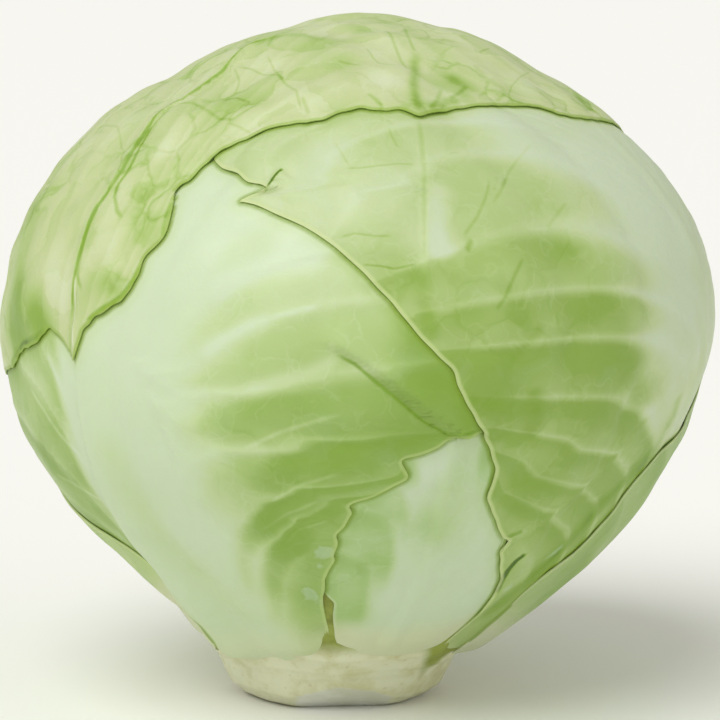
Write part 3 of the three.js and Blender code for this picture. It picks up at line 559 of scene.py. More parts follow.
def margin_of(leaf, read):
    corners = np.array(sorted(zip(*read(direction(*np.array(leaf["edge"], float).T)))))
    first, last = corners[0] + (360, 0), corners[-1] - (360, 0)
    smooth = curve_through([last, *corners, first])
    random = np.random.default_rng(leaf["seed"])
    teeth = 2 * math.pi * corners[:, 1].mean() * ARC / TOOTH
    ripples = [(round(teeth * random.uniform(0.4, 1.6)), random.uniform(0, 2 * math.pi)) for _ in range(6)]

    def margin(bearing):
        calm = smoothstep(np.abs(bearing), 178, 150)
        ragged = sum(np.sin(count * bearing * DEGREE + phase) for count, phase in ripples)
        return smooth(bearing) + 0.6 * RAGGED / ARC * calm * ragged

    return margin


def from_margin(place, margin, d):
    """The distance in millimetres from the nearest point of the margin."""
    bearings = np.linspace(-180, 180, 1500, endpoint=False)
    tree = KDTree(len(bearings))
    for k, point in enumerate(place(bearings, margin(bearings))):
        tree.insert(point, k)
    tree.balance()
    return np.array([tree.find(point)[2] for point in d.reshape(-1, 3)]).reshape(d.shape[:2]) * RADIUS


def from_leaves_above(leaf, d):
    """The distance in millimetres from the nearest margin of a leaf that is laid over this one."""
    away = np.full(d.shape[:2], 99.0)
    for above in LEAVES[LEAVES.index(leaf) + 1:]:
        place, read = chart_of(above["middle"])
        away = np.minimum(away, from_margin(place, margin_of(above, read), d))
    return away


print("teeth of the margins:", RAGGED, "mm high and about", TOOTH, "mm wide")

# %% [markdown]
# ## The sheet of a leaf
# A square grid is spread over the outline. Its columns run along the midrib, and its rows rise away from it and
# level out, much as the side ribs do, so that few edges of the mesh cut across a rib. The top leaf is so wide that
# its mesh would bunch at the sides, so its points are also evened out.

# %% Spread a square sheet over the outline
BUNCHING = 1.1  # columns gather a little towards the midrib
SWEEP = 0.3  # the sheet's rows rise away from the midrib
SWEEP_REACH = 3.2  # and level out


def even_bearings(place, margin, bearing):
    """Bearings moved so that the columns meet the margin at more even distances."""
    moved = bearing
    for side in (-1, 1):
        fan = np.linspace(0, side * 180, 2000)
        steps = np.linalg.norm(np.diff(place(fan, margin(fan)), axis=0), axis=1)
        run = np.concatenate([[0], steps.cumsum()]) / steps.sum()
        moved = np.where(side * bearing > 0, np.interp(np.abs(bearing) / 180, run, fan), moved)
    return moved


def relax(d, rounds):
    """Let each point inside the sheet settle midway between its neighbours."""
    for _ in range(rounds):
        middle = d[:-2, 1:-1] + d[2:, 1:-1] + d[1:-1, :-2] + d[1:-1, 2:]
        d[1:-1, 1:-1] = middle / np.linalg.norm(middle, axis=-1)[..., None]
    return d


def spread_sheet(leaf, across, along):
    place, read = chart_of(leaf["middle"])
    margin = margin_of(leaf, read)
    a = np.sign(across) * np.abs(across) ** BUNCHING
    b = along + SWEEP * (1 - along**2) * (1 - np.exp(-SWEEP_REACH * np.abs(a)))
    x, y = a * np.sqrt(1 - b * b / 2), b * np.sqrt(1 - a * a / 2)
    bearing = np.arctan2(x, y) / DEGREE
    rounds = leaf.get("relax", 0) // 1
    if rounds:
        bearing = even_bearings(place, margin, bearing)
    d = relax(place(bearing, np.minimum(1, np.hypot(x, y)) * margin(bearing)), rounds)
    bearing, distance = read(d)
    base, tip = float(margin(np.array(180.0))), float(margin(np.array(0.0)))
    return {
        "a": a, "b": b, "bearing": bearing, "d": d,
        "right": distance * np.sin(bearing * DEGREE) * ARC,
        "up": distance * np.cos(bearing * DEGREE) * ARC,
        "from_base": np.clip((distance * np.cos(bearing * DEGREE) + base) / (base + tip), 0, 1),
        "from_edge": from_margin(place, margin, d),
        "length": (base + tip) * ARC,
    }


print("rows rise by", SWEEP, "of half the sheet")

# %% [markdown]
# ## Draping
# The sheet takes the height of the skin below it. A leaf is stiff, so it cannot follow a sharp step: the heights
# are first widened to the largest nearby and then blurred by the same width, which keeps them above the skin. The
# thin margin is limper and follows what is below it more closely.

# %% Drape the sheet over the skin
GAP = 0.08  # air between two leaves
LIMP_MARGIN = (12, 3)  # millimetres from the margin where the leaf begins to be limp, and where it is fully so


def widen(grid):
    padded = np.pad(grid, 1, mode="edge")
    n, m = grid.shape
    return np.max([padded[i:i + n, j:j + m] for i in range(3) for j in range(3)], axis=0)


def blur(grid):
    for axis in (0, 1):
        padded = np.pad(grid, [(1, 1) if k == axis else (0, 0) for k in (0, 1)], mode="edge")
        n = grid.shape[axis]
        before, after = (np.take(padded, range(k, k + n), axis) for k in (0, 2))
        grid = (before + 2 * grid + after) / 4
    return grid


def drape(sheet, steps):
    close = finer(sheet["d"], 3)
    close /= np.linalg.norm(close, axis=-1)[..., None]
    height = widen(skin[cell_of(close)])[::3, ::3]
    limp = blur(widen(height))
    for _ in range(steps):
        height = widen(height)
    for _ in range(steps):
        height = blur(height)
    height = height + (limp - height) * smoothstep(sheet["from_edge"], *LIMP_MARGIN)
    return heart_surface(sheet["d"]) + height + GAP


print("air between two leaves:", GAP, "mm")

# %% [markdown]
# ## Side ribs
# Side ribs leave the midrib about a finger's breadth apart, rise beside it and level out towards the margin. They
# could be modelled one by one, but they are easier to count: every point of the blade gets a number, which is
# whole on a rib. Where the ribs rise steeply they would be squeezed together, so they are made lower there.


# %% Number the side ribs
def side_rib_numbers(leaf, sheet):
    """The number at each point of each half of the leaf, and how level the side ribs run there."""
    rise, soon = leaf["curve"]
    lift = np.maximum(rise * (1 - np.exp(-soon * np.abs(sheet["a"]))), 1e-6)
    root = np.sqrt(np.maximum(0, 1 - 4 * lift * (sheet["b"] - lift)))
    start = (1 - root) / (2 * lift)  # where on the midrib the side rib through this point begins
    count = max(4, round(sheet["length"] / leaf["side_ribs"]))
    numbers = np.zeros_like(start)
    for side, known in ((0, "ribs_left"), (1, "ribs_right")):
        random = np.random.default_rng(10 * leaf["seed"] + side)
        places = np.linspace(-0.97, 1.02, count) + random.uniform(-0.22, 0.22, count) / count
        places = np.array(leaf.get(known, places))
        half = sheet["a"] >= 0 if side else sheet["a"] < 0
        numbers = np.where(half, np.interp(start, places, np.arange(len(places))) + 40 * side, numbers)
    steep = rise * soon * np.exp(-soon * np.abs(sheet["a"]))
    return numbers, 1 / (1 + steep**2)


print("side ribs are", sorted({leaf["side_ribs"] for leaf in LEAVES}), "mm apart on the midrib")

# %% [markdown]
# ## Creases
# A pleat, a fold or a bruised line is a path of points on the head. What is needed at each vertex is how far it is
# from the path and on which side, so a step or a groove can be put there.


# %% Distance from a crease
def crease(d, path):
    """Distance in millimetres from a line, above zero on its left, and how far along it the nearest point is."""
    line, here = direction(*np.array(path, float).T) * RADIUS, d * RADIUS
    nearest, signed, share = np.full(here.shape[:2], 1e9), np.zeros(here.shape[:2]), np.zeros(here.shape[:2])
    for k, (start, end) in enumerate(zip(line[:-1], line[1:])):
        step = end - start
        t = np.clip(((here - start) @ step) / (step @ step), 0, 1)
        away = here - start - t[..., None] * step
        distance = np.linalg.norm(away, axis=-1)
        side = np.sign(away @ np.cross(start, step))
        closer = distance < nearest
        nearest = np.where(closer, distance, nearest)
        signed = np.where(closer, side * distance, signed)
        share = np.where(closer, (k + t) / (len(line) - 1), share)
    return signed, share


def faded_ends(share, first, last):
    """1 along a path, falling to 0 over its first and last parts."""
    return smoothstep(share, 0, first) * smoothstep(share, 1, 1 - last)


print("creases:", sum(len(leaf.get("folds", [])) for leaf in LEAVES))

# %% [markdown]
# ## Relief
# The outer face of a cabbage leaf is its underside, so its ribs stand out. The midrib is broad at the base and
# thins towards the tip. The blade between two side ribs is slightly quilted and bumpy. Each of these is added to
# the thickness of the leaf, because a bump in the material alone would not show at the head's outline.

# %% Thickness and relief of a leaf
BLADE = 0.8
MARGIN_BLADE = 0.55
MARGIN_LIP = 0.3  # the margin is rounded down to this in its last millimetre
QUILT = 0.25  # how far the blade stands out between side ribs
SIDE_HEIGHT = 0.4  # how far a side rib does, where a leaf does not say
GROOVE = 0.14  # depth of the groove beside the midrib, as a share of its height
PEBBLE = 13  # usual distance between the blade's bumps
TAPER = 1.2  # how fast the midrib thins from the base on
RIB_END = (0.9, 1.2)  # shares of the leaf's length where the midrib ends, where a leaf does not say
SIDE_START = (0.06, 0.2)  # where the side ribs begin
CALM_BASE, SMOOTH_BASE = (0.15, 0.35), (0.1, 0.3)  # where the quilting and the bumps begin
SIDE_FADE = 1.2  # how fast a side rib sinks on its way to the margin
SIDE_WIDTH, SIDE_ROOT, SIDE_NARROWS = 0.9, 1.3, 3  # its width, what is added at the midrib, and how fast that goes
SIDE_RIM, BLADE_RIM, QUILT_RIM, BUMP_RIM, LIP_RIM = 12, 10, 8, 5, 1.2  # each fades this close to the margin


def midrib_shape(leaf, right, taper):
    """A crown that falls away to a shallow groove, and more steeply where the rib has a sharp side."""
    _, left_width, right_width = leaf["rib"]
    width = np.where(right < 0, left_width, right_width) * (0.3 + 0.7 * taper)
    out = np.abs(right) / width
    round_side = (1 + np.cos(math.pi * np.minimum(1, out))) / 2 - GROOVE * np.exp(-(((out - 1.05) / 0.3) ** 2))
    sharp_side = 1 - smoothstep(out, 0.75, 1.15)
    crown = np.where((right < 0) & (left_width < 0.7 * right_width), sharp_side, round_side)
    share, place, spread = leaf.get("flank", (0, 1, 1))
    return crown + share * np.exp(-(((right - place) / spread) ** 2))


def relief(leaf, sheet):
    from_base, inside = sheet["from_base"], sheet["from_edge"]
    taper = (1 - from_base) ** TAPER
    going = 1 - smoothstep(from_base, *leaf.get("rib_end", RIB_END))
    midrib = midrib_shape(leaf, sheet["right"], taper) * going
    numbers, level = side_rib_numbers(leaf, sheet)
    off = np.abs(numbers - np.round(numbers)) * leaf["side_ribs"] * np.sqrt(level)
    out = np.abs(sheet["a"])
    shown = np.exp(-SIDE_FADE * out) * smoothstep(from_base, *SIDE_START) * smoothstep(inside, 0, SIDE_RIM)
    shown = shown * (0.15 + 0.85 * going) * level
    side = np.exp(-((off / (SIDE_WIDTH + SIDE_ROOT * np.exp(-SIDE_NARROWS * out))) ** 2)) * shown
    quilt = np.sin(math.pi * (numbers - np.floor(numbers))) ** 2 * smoothstep(inside, 0, QUILT_RIM)
    quilt *= smoothstep(from_base, *CALM_BASE) * (0.2 + 0.8 * going) * level
    bumps = waves(leaf["seed"] + 50, PEBBLE, 14)(sheet["d"]) * smoothstep(inside, 0, BUMP_RIM)
    blade = MARGIN_BLADE + (BLADE - MARGIN_BLADE) * smoothstep(inside, 0, BLADE_RIM)
    side_height = leaf.get("side_height", SIDE_HEIGHT)
    thick = blade + leaf["rib"][0] * taper * midrib + side_height * side + QUILT * quilt
    thick = thick + leaf["crinkle"] * bumps * smoothstep(from_base, *SMOOTH_BASE)
    thick = np.maximum(thick, 0.9 * MARGIN_BLADE) - (MARGIN_BLADE - MARGIN_LIP) * smoothstep(inside, LIP_RIM, 0)
    return thick, numbers, off, shown


print("blade:", BLADE, "mm thick, and", MARGIN_BLADE, "mm at its margin")

# %% [markdown]
# ## How green the leaf is
# One number at each vertex says how green the leaf is there: 0 is white flesh, 1 a full green. The flesh beside
# the midrib is pale and runs out along the side ribs in tongues. Between two ribs the green is deepest just below
# the upper one, partly the leaf's own green and partly painted shade under the raised rib. Values kept at the
# vertices bend with the leaf, as a painted picture would, and need no image.

# %% Greenness at each vertex
# Partly painted shade: the blade just below a raised side rib is made greener as if shaded by it.
RIB_SHADE = 0.26  # how much greener the blade is just below a side rib than just above one
GLOW = 2.6  # millimetres beside a side rib that its pale tongue reaches
FLESH_EDGE = (1.2, 0.6)  # the flesh fades between these shares of its reach
FULL_GREEN = 1.6  # the deepest green that patches may add up to


def spots(places, d):
    """A sum of soft round spots of (amount, radius, polar angle, azimuth)."""
    total = 0 * d[..., 0]
    for amount, radius, *place in places:
        total = total + amount * np.exp(-((d - direction(*place)) ** 2).sum(-1) / (radius / RADIUS) ** 2)
    return total


def bands(leaf, d):
    """A sum of soft stripes of (amount, width, path) that fade at both ends."""
    total = 0 * d[..., 0]
    for amount, width, path in leaf.get("bands", []):
        signed, share = crease(d, path)
        total = total + amount * faded_ends(share, 0.15, 0.15) * np.exp(-((signed / width) ** 2))
    return total


def greenness(leaf, sheet, numbers, off, shown):
    low, high, start, end = leaf["green"]
    green = low + (high - low) * smoothstep(sheet["from_base"], start, end)
    below = numbers - np.floor(numbers)
    green = green * (1 + RIB_SHADE * (smoothstep(below, 0.15, 0.9) - 0.5))
    tongue = 0.93 + 0.2 * np.exp(-((off / GLOW) ** 2)) + 0.07 * waves(leaf["seed"] + 70, 22, 9)(sheet["d"])
    flesh = np.ones_like(green)
    for side, key in ((-1, "pale_left"), (1, "pale_right")):
        reach = curve_through(leaf[key])(sheet["up"]) * tongue
        beside = smoothstep(np.abs(sheet["right"]) / reach, *FLESH_EDGE) * smoothstep(reach, 0.5, 3)
        flesh = flesh * np.where(side * sheet["right"] > 0, beside, 1)
    green = green * (1 - leaf["flesh"] * flesh) * smoothstep(sheet["from_base"], 0.0, 0.04)
    fine = SIDE_WIDTH + 1.2 * np.exp(-SIDE_NARROWS * np.abs(sheet["a"]))
    green = green - leaf["rib_paint"] * green * np.exp(-((off / fine) ** 2)) * np.clip(1.6 * shown, 0, 1)
    return np.clip(green + spots(leaf["patches"], sheet["d"]) + bands(leaf, sheet["d"]), 0, FULL_GREEN)


print("patches and bands:", sum(len(leaf["patches"]) + len(leaf.get("bands", [])) for leaf in LEAVES))

# %% [markdown]
# ## Thin lines
# A bruised crease, or a thin line of painted shade at a fold or under a lifted margin, is under a millimetre wide,
# finer than the mesh. It is kept as a distance from the line, which stays sharp on a coarse mesh, and in three
# sets, so that lines which meet are in different sets.

# %% Distance from the thin lines
FAR_OFF = 12.0  # line widths beyond which a line no longer counts


def thin_lines(leaf, d):
    off = np.full(d.shape, FAR_OFF)
    amount = np.zeros_like(off)
    for k, (strength, width, path) in enumerate(leaf.get("lines", [])):
        signed, share = crease(d, path)
        reach = max(1.2 * width, 1.5)
        fade = faded_ends(share, 0.1, 0.1) * smoothstep(np.abs(signed), reach + 1.5, reach)
        closer = np.abs(signed / width) < np.abs(off[..., k % 3])
        off[..., k % 3] = np.where(closer, signed / width, off[..., k % 3])
        amount[..., k % 3] = np.where(closer, strength * fade, amount[..., k % 3])
    return off, amount


print("thin lines:", sum(len(leaf.get("lines", [])) for leaf in LEAVES))

# %% [markdown]
# ## The two faces of a leaf
# The inner face is the draped sheet, lifted a little where the margin curls, the blade swells or a fold steps up.
# The outer face is the thickness further out. At the base both sink into what is below, as the real leaf grows
# out of the stump.

# %% Inner and outer face
SWELL = 0.25  # usual height of a leaf's own soft swell
SWELL_SIZE = 34
STEP_HALF = 0.9  # half the width of the step at a fold
ROOT_END = (0.13, 0.05)  # the base sinks in between these shares of the leaf's length
ROOT_RIM = (8, 0.8)  # and between these distances from its margin


def shape_leaf(leaf, sheet):
    thick, numbers, off, shown = relief(leaf, sheet)
    from_base, inside = sheet["from_base"], sheet["from_edge"]
    lift, count = leaf["curl"]
    wave = (1 + np.sin(count * sheet["bearing"] * DEGREE)) / 2
    curl = lift * wave * smoothstep(inside, SIDE_RIM, 0) * smoothstep(from_base, *CALM_BASE)
    swell = SWELL * (1.2 + waves(leaf["seed"], SWELL_SIZE)(sheet["d"])) * smoothstep(from_base, *SMOOTH_BASE)
    swell = np.maximum(swell, 0) * smoothstep(inside, 0, BLADE_RIM)
    steps = leaf["stiff"]
    inner = drape(sheet, steps) + curl + swell
    for height, width, path in leaf.get("folds", []):
        signed, share = crease(sheet["d"], path)
        step = smoothstep(signed, -STEP_HALF, STEP_HALF) * np.exp(-np.maximum(signed - STEP_HALF, 0) / width)
        inner = inner + height * faded_ends(share, 0.2, 0.15) * step
    root = smoothstep(from_base, *ROOT_END) * smoothstep(inside, *ROOT_RIM)
    sink = leaf["root"] * root * (thick + GAP + 0.05)
    off_line, amount = thin_lines(leaf, sheet["d"])
    marks = {
        "green": greenness(leaf, sheet, numbers, off, shown), "line_off": off_line, "line_amount": amount,
        "wax": spots([(1, *patch) for patch in leaf.get("wax", [])], sheet["d"]),
        "from_margin": inside / 1000, "from_base": from_base,
        "under_edge": from_leaves_above(leaf, sheet["d"]) / 1000,
        "place": sheet["d"] * RADIUS / 1000,
    }
    return inner - sink, inner + thick - sink, marks


print("folds are", 2 * STEP_HALF, "mm wide")

# %% [markdown]
# ## Making a leaf
# A grid primitive gets its place from the sheet. Solidify turns it into a closed blade with a margin, and the
# vertices of its two faces are then moved to the outer and the inner surface. The leaf keeps a few values at each
# vertex, such as how far it is from its margin, because its colours follow the leaf and not the world.


# %% Make a leaf
def set_in_place(points):
    """From distances round the head's centre to the object's own frame, in metres."""
    height = points[..., 2] + CENTRE_HEIGHT
    across = points[..., 0] + LEAN * smoothstep(height, *LEAN_HEIGHTS)
    return np.stack([across, points[..., 1], height], -1) / 1000


def deselect_all():
    bpy.ops.object.select_all(action="DESELECT")


def move_vertices(piece, points):
    piece.data.vertices.foreach_set("co", points.ravel())
    piece.data.update()


def keep_value(mesh, name, values, kind="FLOAT"):
    attribute = mesh.attributes.new(name, kind, "POINT")
    attribute.data.foreach_set("vector" if kind == "FLOAT_VECTOR" else "value", values.astype(np.float32).ravel())


def make_leaf(leaf):
    cells = leaf["cells"] // 1
    deselect_all()
    bpy.ops.mesh.primitive_grid_add(x_subdivisions=cells, y_subdivisions=cells, size=2)
    piece = bpy.context.object
    piece.name = piece.data.name = leaf["name"].replace("leaf_", "blade_")
    flat = np.array([v.co[:2] for v in piece.data.vertices])
    column, row = np.rint((flat.T + 1) / 2 * cells).astype(int)
    steps = np.linspace(-1, 1, cells + 1)
    across, along = np.meshgrid(steps, steps, indexing="ij")
    sheet = spread_sheet(leaf, across, along)
    inner, outer, marks = shape_leaf(leaf, sheet)
    blade = piece.modifiers.new("blade", "SOLIDIFY")
    blade.thickness, blade.offset = 0.01, -1
    bpy.ops.object.modifier_apply(modifier="blade")
    faces = [sheet["d"] * radius[..., None] for radius in (outer, inner)]
    move_vertices(piece, np.concatenate([set_in_place(face)[column, row] for face in faces]))
    grow_skin(faces[0])
    for name, values in marks.items():
        kind = "FLOAT_VECTOR" if values.ndim == 3 else "FLOAT"
        keep_value(piece.data, name, np.concatenate([values[column, row]] * 2), kind)
    bpy.ops.object.shade_smooth_by_angle(angle=math.radians(50))
    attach(piece, "root")
    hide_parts(leaf["name"])
    print(piece.name, len(piece.data.polygons) * 2, "triangles,", len(piece.data.vertices), "vertices")
    return piece


# %% [markdown]
# ## The form of the stump
# The stump widens upwards and carries the scars of leaves that were broken off, low uneven ridges round it, and a
# small nub in front. It was trimmed twice: straight across, and once more at a slant in front.

# %% Stump, scars and cuts
STUMP_PROFILE = [(29.3, 9.2), (28.4, 6.8), (26.3, 3.7), (23.6, 1.3), (21.6, 0.3), (20, 0)]  # radius and height
TRIM_NORMAL = np.array([0.05, -0.54, -0.84]) / np.linalg.norm([0.05, -0.54, -0.84])
TRIM_LIMIT = float(TRIM_NORMAL @ (0, -18, -CENTRE_HEIGHT))
SCARS = [  # polar angle, its swing round the stump, where the swing starts and how often it comes
    (155.6, 0.7, 20, 2), (158.6, 0.8, 80, 1), (161.2, 0.6, 200, 3), (164, 0.5, 10, 2),
]
SCAR_WIDTH = 0.55  # degrees
COLLAR_START, COLLAR_END, CUT_EDGE = (148, 156), (168.4, 165.5), (167.9, 168.3)  # polar angles
STUMP_RING, STUMP_ARC = 30, 1.57  # the stump's radius, and millimetres up the stump for each degree
NUB, NUB_SIZE = (162.3, 1, 1.1), (1.6, 2.2)  # polar angle, azimuth and height of a small nub, and its half sizes


def body_radius(d, polar):
    """The heart's profile continued down the stump to the edge of its cut end, and across the cut end."""
    down = [(r, CENTRE_HEIGHT - height) for r, height in STUMP_PROFILE]
    stump = [(180 - math.atan2(r, depth) / DEGREE, math.hypot(r, depth)) for r, depth in down]
    left, right = (curve_through([*profile[:-1], *stump])(polar) for profile in (HEART_LEFT, HEART_RIGHT))
    end = CENTRE_HEIGHT / np.maximum(0.1, -np.cos(polar * DEGREE))
    return np.where(polar > stump[-1][0], end, both_sides(left, right, d))


def collar_relief(d, polar, azimuth):
    """Scars of fallen leaves round the stump, a soft unevenness, and the nub."""
    collar = smoothstep(polar, *COLLAR_START) * smoothstep(polar, *COLLAR_END)
    scars = sum(
        np.exp(-((polar - middle - swing * np.sin((azimuth + turn) * DEGREE * lap)) / SCAR_WIDTH) ** 2)
        for middle, swing, turn, lap in SCARS
    )
    uneven = collar * (0.45 * scars + 0.25 * waves(31, 16)(d) + 0.12 * waves(32, 6)(d))
    middle, side, height = NUB
    up, across = (polar - middle) * STUMP_ARC, (azimuth - side) * DEGREE * STUMP_RING
    nub = np.exp(-((up / NUB_SIZE[0]) ** 2 + (across / NUB_SIZE[1]) ** 2))
    return uneven, height * nub


print("scars round the stump:", len(SCARS))

# %% [markdown]
# ## The stump and the heart
# The stump runs up into the heart as one body. A sphere is a good start, because each of its vertices already
# looks out from the centre and only needs its distance. More rings are drawn together near the stump, where the
# cut edge and the scars are small. Then the leaves are laid over it, one after another.

# %% Make the stump and heart, and lay the leaves
# Painted shade: the heart's dark olive, which is partly shade, reaches this much lower in the gap beside the inner
# leaf.
SHADED_GAP_BESIDE = (46, 9, 7.5)  # azimuth, width and depth in degrees of the olive gap beside the inner leaf


def make_stump_and_heart():
    deselect_all()
    rings, spokes = ((180, 256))
    bpy.ops.mesh.primitive_uv_sphere_add(segments=spokes, ring_count=rings, radius=1)
    piece = bpy.context.object
    piece.name = piece.data.name = "stump_and_heart_flesh"
    d = np.array([v.co[:] for v in piece.data.vertices])
    polar = np.interp(polar_of(d) / 180, [0, 0.45, 0.9, 1], [0, 140, 169.2, 180])
    azimuth = np.arctan2(d[:, 0], -d[:, 1]) / DEGREE
    d = direction(polar, azimuth)
    radius = body_radius(d, polar) + lobe_height(d, polar)
    uneven, nub = collar_relief(d, polar, azimuth)
    radius = radius + uneven + nub
    facing = d @ TRIM_NORMAL
    trimmed = np.where(facing > 0, TRIM_LIMIT / np.maximum(facing, 1e-6), 1e9)
    cut = np.maximum(smoothstep(radius - trimmed, -0.1, 0.3), smoothstep(polar, *CUT_EDGE))
    radius = np.minimum(radius, trimmed)
    move_vertices(piece, set_in_place(d * radius[:, None]))
    side, width, depth = SHADED_GAP_BESIDE
    keep_value(piece.data, "cut", cut)
    keep_value(piece.data, "polar", polar - depth * np.exp(-(((azimuth - side) / width) ** 2)))
    bpy.ops.object.shade_smooth_by_angle(angle=math.radians(45))
    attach(piece, "root")
    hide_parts("stump_and_heart")
    print(piece.name, len(piece.data.polygons) * 2, "triangles or less")
    return piece


flesh = make_stump_and_heart()
blades = [make_leaf(leaf) for leaf in LEAVES]

# %% [markdown]
# ## Colours and a helper for materials
# Colours are written as they look on a screen and turned to linear light by one function. Another adds a shader
# node with its settings and links. Its inputs are numbered from 0, in the order in which the node shows them.


# %% Colour and node helpers
def colour(screen, alpha=1.0):
    values = [(screen >> shift & 255) / 255 for shift in (16, 8, 0)]
    return (*[v / 12.92 if v <= 0.04045 else ((v + 0.055) / 1.055) ** 2.4 for v in values], alpha)


def add(tree, kind, inputs, output=0, **settings):
    """Add a shader node with its settings and links, and give back one of its outputs."""
    node = tree.nodes.new("ShaderNode" + kind)
    for name, value in settings.items():
        setattr(node, name, value)
    for socket, value in inputs.items():
        if isinstance(value, bpy.types.NodeSocket):
            tree.links.new(value, node.inputs[socket])
        else:
            node.inputs[socket].default_value = value
    return node.outputs[output] if node.outputs else None


def new_material(name):
    material = bpy.data.materials.new(name)
    material.use_nodes = True
    material.node_tree.nodes.clear()
    return material


TIMES, PLUS, TIMES_PLUS = ({"operation": name} for name in ("MULTIPLY", "ADD", "MULTIPLY_ADD"))
SOFT_STEP = {"interpolation_type": "SMOOTHSTEP"}  # 0 to 1 while input 0 goes from input 1 to input 2
BLEND = {"data_type": "RGBA", "output": 2}  # inputs 6 and 7 are the two colours
print("mid grey in linear light:", [round(v, 3) for v in colour(0x808080)])

# %% [markdown]
# ## The pattern of a leaf
# Noise adds soft blotches to the greenness kept at the vertices. A net of cells about 12 mm wide stands for the
# blistered blade between the finest veins: each cell has its own tone, and some of the seams between cells are
# deeper green. The pattern is drawn at the place each vertex has on a smooth round head, so it bends with the
# leaf. The net and the thin lines also make the bump, because a seam lies a little lower than its cells.

# %% Blotches, net and lines
BLOTCH, BLISTER, BLOOM, VEIN, SPECKLE, PORE = 0.03, 0.012, 0.012, 0.006, 0.006, 0.0009  # pattern sizes in metres


def leaf_green(tree, place, bent, finish):
    """How green the leaf is, with its blotches, net and thin lines, and the same net for the bump."""
    broad = add(tree, "TexNoise", {"Vector": place, "Scale": 1 / BLOTCH, "Detail": 3.0})
    small = add(tree, "TexNoise", {"Vector": bent, "Scale": 1 / SPECKLE, "Detail": 3.0})
    cell = add(tree, "TexVoronoi", {"Vector": bent, "Scale": 1 / BLISTER}, "Color", feature="F1")
    seam = add(tree, "TexVoronoi", {"Vector": bent, "Scale": 1 / BLISTER}, "Distance", feature="DISTANCE_TO_EDGE")
    vein = add(tree, "TexVoronoi", {"Vector": bent, "Scale": 1 / VEIN}, "Distance", feature="DISTANCE_TO_EDGE")
    near_seam = add(tree, "MapRange", {0: seam, 1: 0.11, 2: 0.0}, **SOFT_STEP)
    some_seams = add(tree, "MapRange", {0: broad, 1: 0.42, 2: 0.6}, **SOFT_STEP)
    near_vein = add(tree, "MapRange", {0: vein, 1: 0.09, 2: 0.0}, **SOFT_STEP)
    some_veins = add(tree, "MapRange", {0: small, 1: 0.35, 2: 0.65}, **SOFT_STEP)
    seam_share = add(tree, "Math", {0: near_seam, 1: some_seams}, **TIMES)
    vein_share = add(tree, "Math", {0: near_vein, 1: some_veins}, **TIMES)
    change = 0.0
    for tone, share in ((broad, 2 * finish["blotch"]), (small, 0.3 * finish["blotch"]), (cell, finish["cells"])):
        centred = add(tree, "Math", {0: tone, 1: -0.5}, **PLUS)
        change = add(tree, "Math", {0: centred, 1: share, 2: change}, **TIMES_PLUS)
    change = add(tree, "Math", {0: seam_share, 1: finish["seams"], 2: change}, **TIMES_PLUS)
    change = add(tree, "Math", {0: vein_share, 1: -finish["net"], 2: change}, **TIMES_PLUS)
    green = add(tree, "Attribute", {}, "Fac", attribute_name="green")
    lively = add(tree, "MapRange", {0: green, 1: 0.0, 2: 0.5, 3: 0.3, 4: 1.0}, **SOFT_STEP)
    green = add(tree, "Math", {0: change, 1: lively, 2: green}, **TIMES_PLUS)
    offs = add(tree, "Attribute", {}, "Vector", attribute_name="line_off")
    amounts = add(tree, "Attribute", {}, "Vector", attribute_name="line_amount")
    offs, amounts = (add(tree, "SeparateXYZ", {0: each}).node.outputs for each in (offs, amounts))
    lines = 0.0
    for off, amount in zip(offs, amounts):
        away = add(tree, "Math", {0: off}, operation="ABSOLUTE")
        near = add(tree, "MapRange", {0: away, 1: 1.25, 2: 0.0}, **SOFT_STEP)
        lines = add(tree, "Math", {0: near, 1: amount, 2: lines}, **TIMES_PLUS)
    grain = add(tree, "TexNoise", {"Vector": place, "Scale": 1 / PORE, "Detail": 2.0})
    height = add(tree, "Math", {0: grain, 1: 0.2}, **TIMES)
    for form, share in ((lines, -0.5), (seam_share, -2 * finish["seams"]), (vein_share, finish["net"])):
        height = add(tree, "Math", {0: form, 1: share, 2: height}, **TIMES_PLUS)
    return green, lines, broad, height


print("blisters are", BLISTER * 1000, "mm wide")

# %% [markdown]
# ## Waxy leaf
# A cabbage leaf is watery flesh under a thin skin with a bloom of wax, so it has a soft broad gloss and lets a
# little light through. Its greenness chooses a colour on a ramp from white flesh to deep green. Over that lie the
# wax, a rim, the stump's colour at the base and painted shade along the margin of the next leaf: a deeper green
# beside it and an olive line right under it. What is the same all over, such as the IOR, is set on the shader
# itself.

# %% Leaf material
# The two darkest greens also carry the painted shade of the lines at folds and under lifted margins.
DARKEST, OLIVE = 0x4A6A12, 0x7A9E26  # bruised creases, and the green inside a fold
# Painted shade: the olive laid on a leaf right under the margin of the leaf above it.
SHADE_UNDER_MARGIN = 0x7C9A22  # where a leaf slips under the margin of the next
WAX_COLOUR = 0xBED3BA
STUMP_SKIN = 0xCFD4AE  # what the flesh of a leaf turns to where it leaves the stump
WANDER = 0.014  # how far apart the net's bends are, in metres


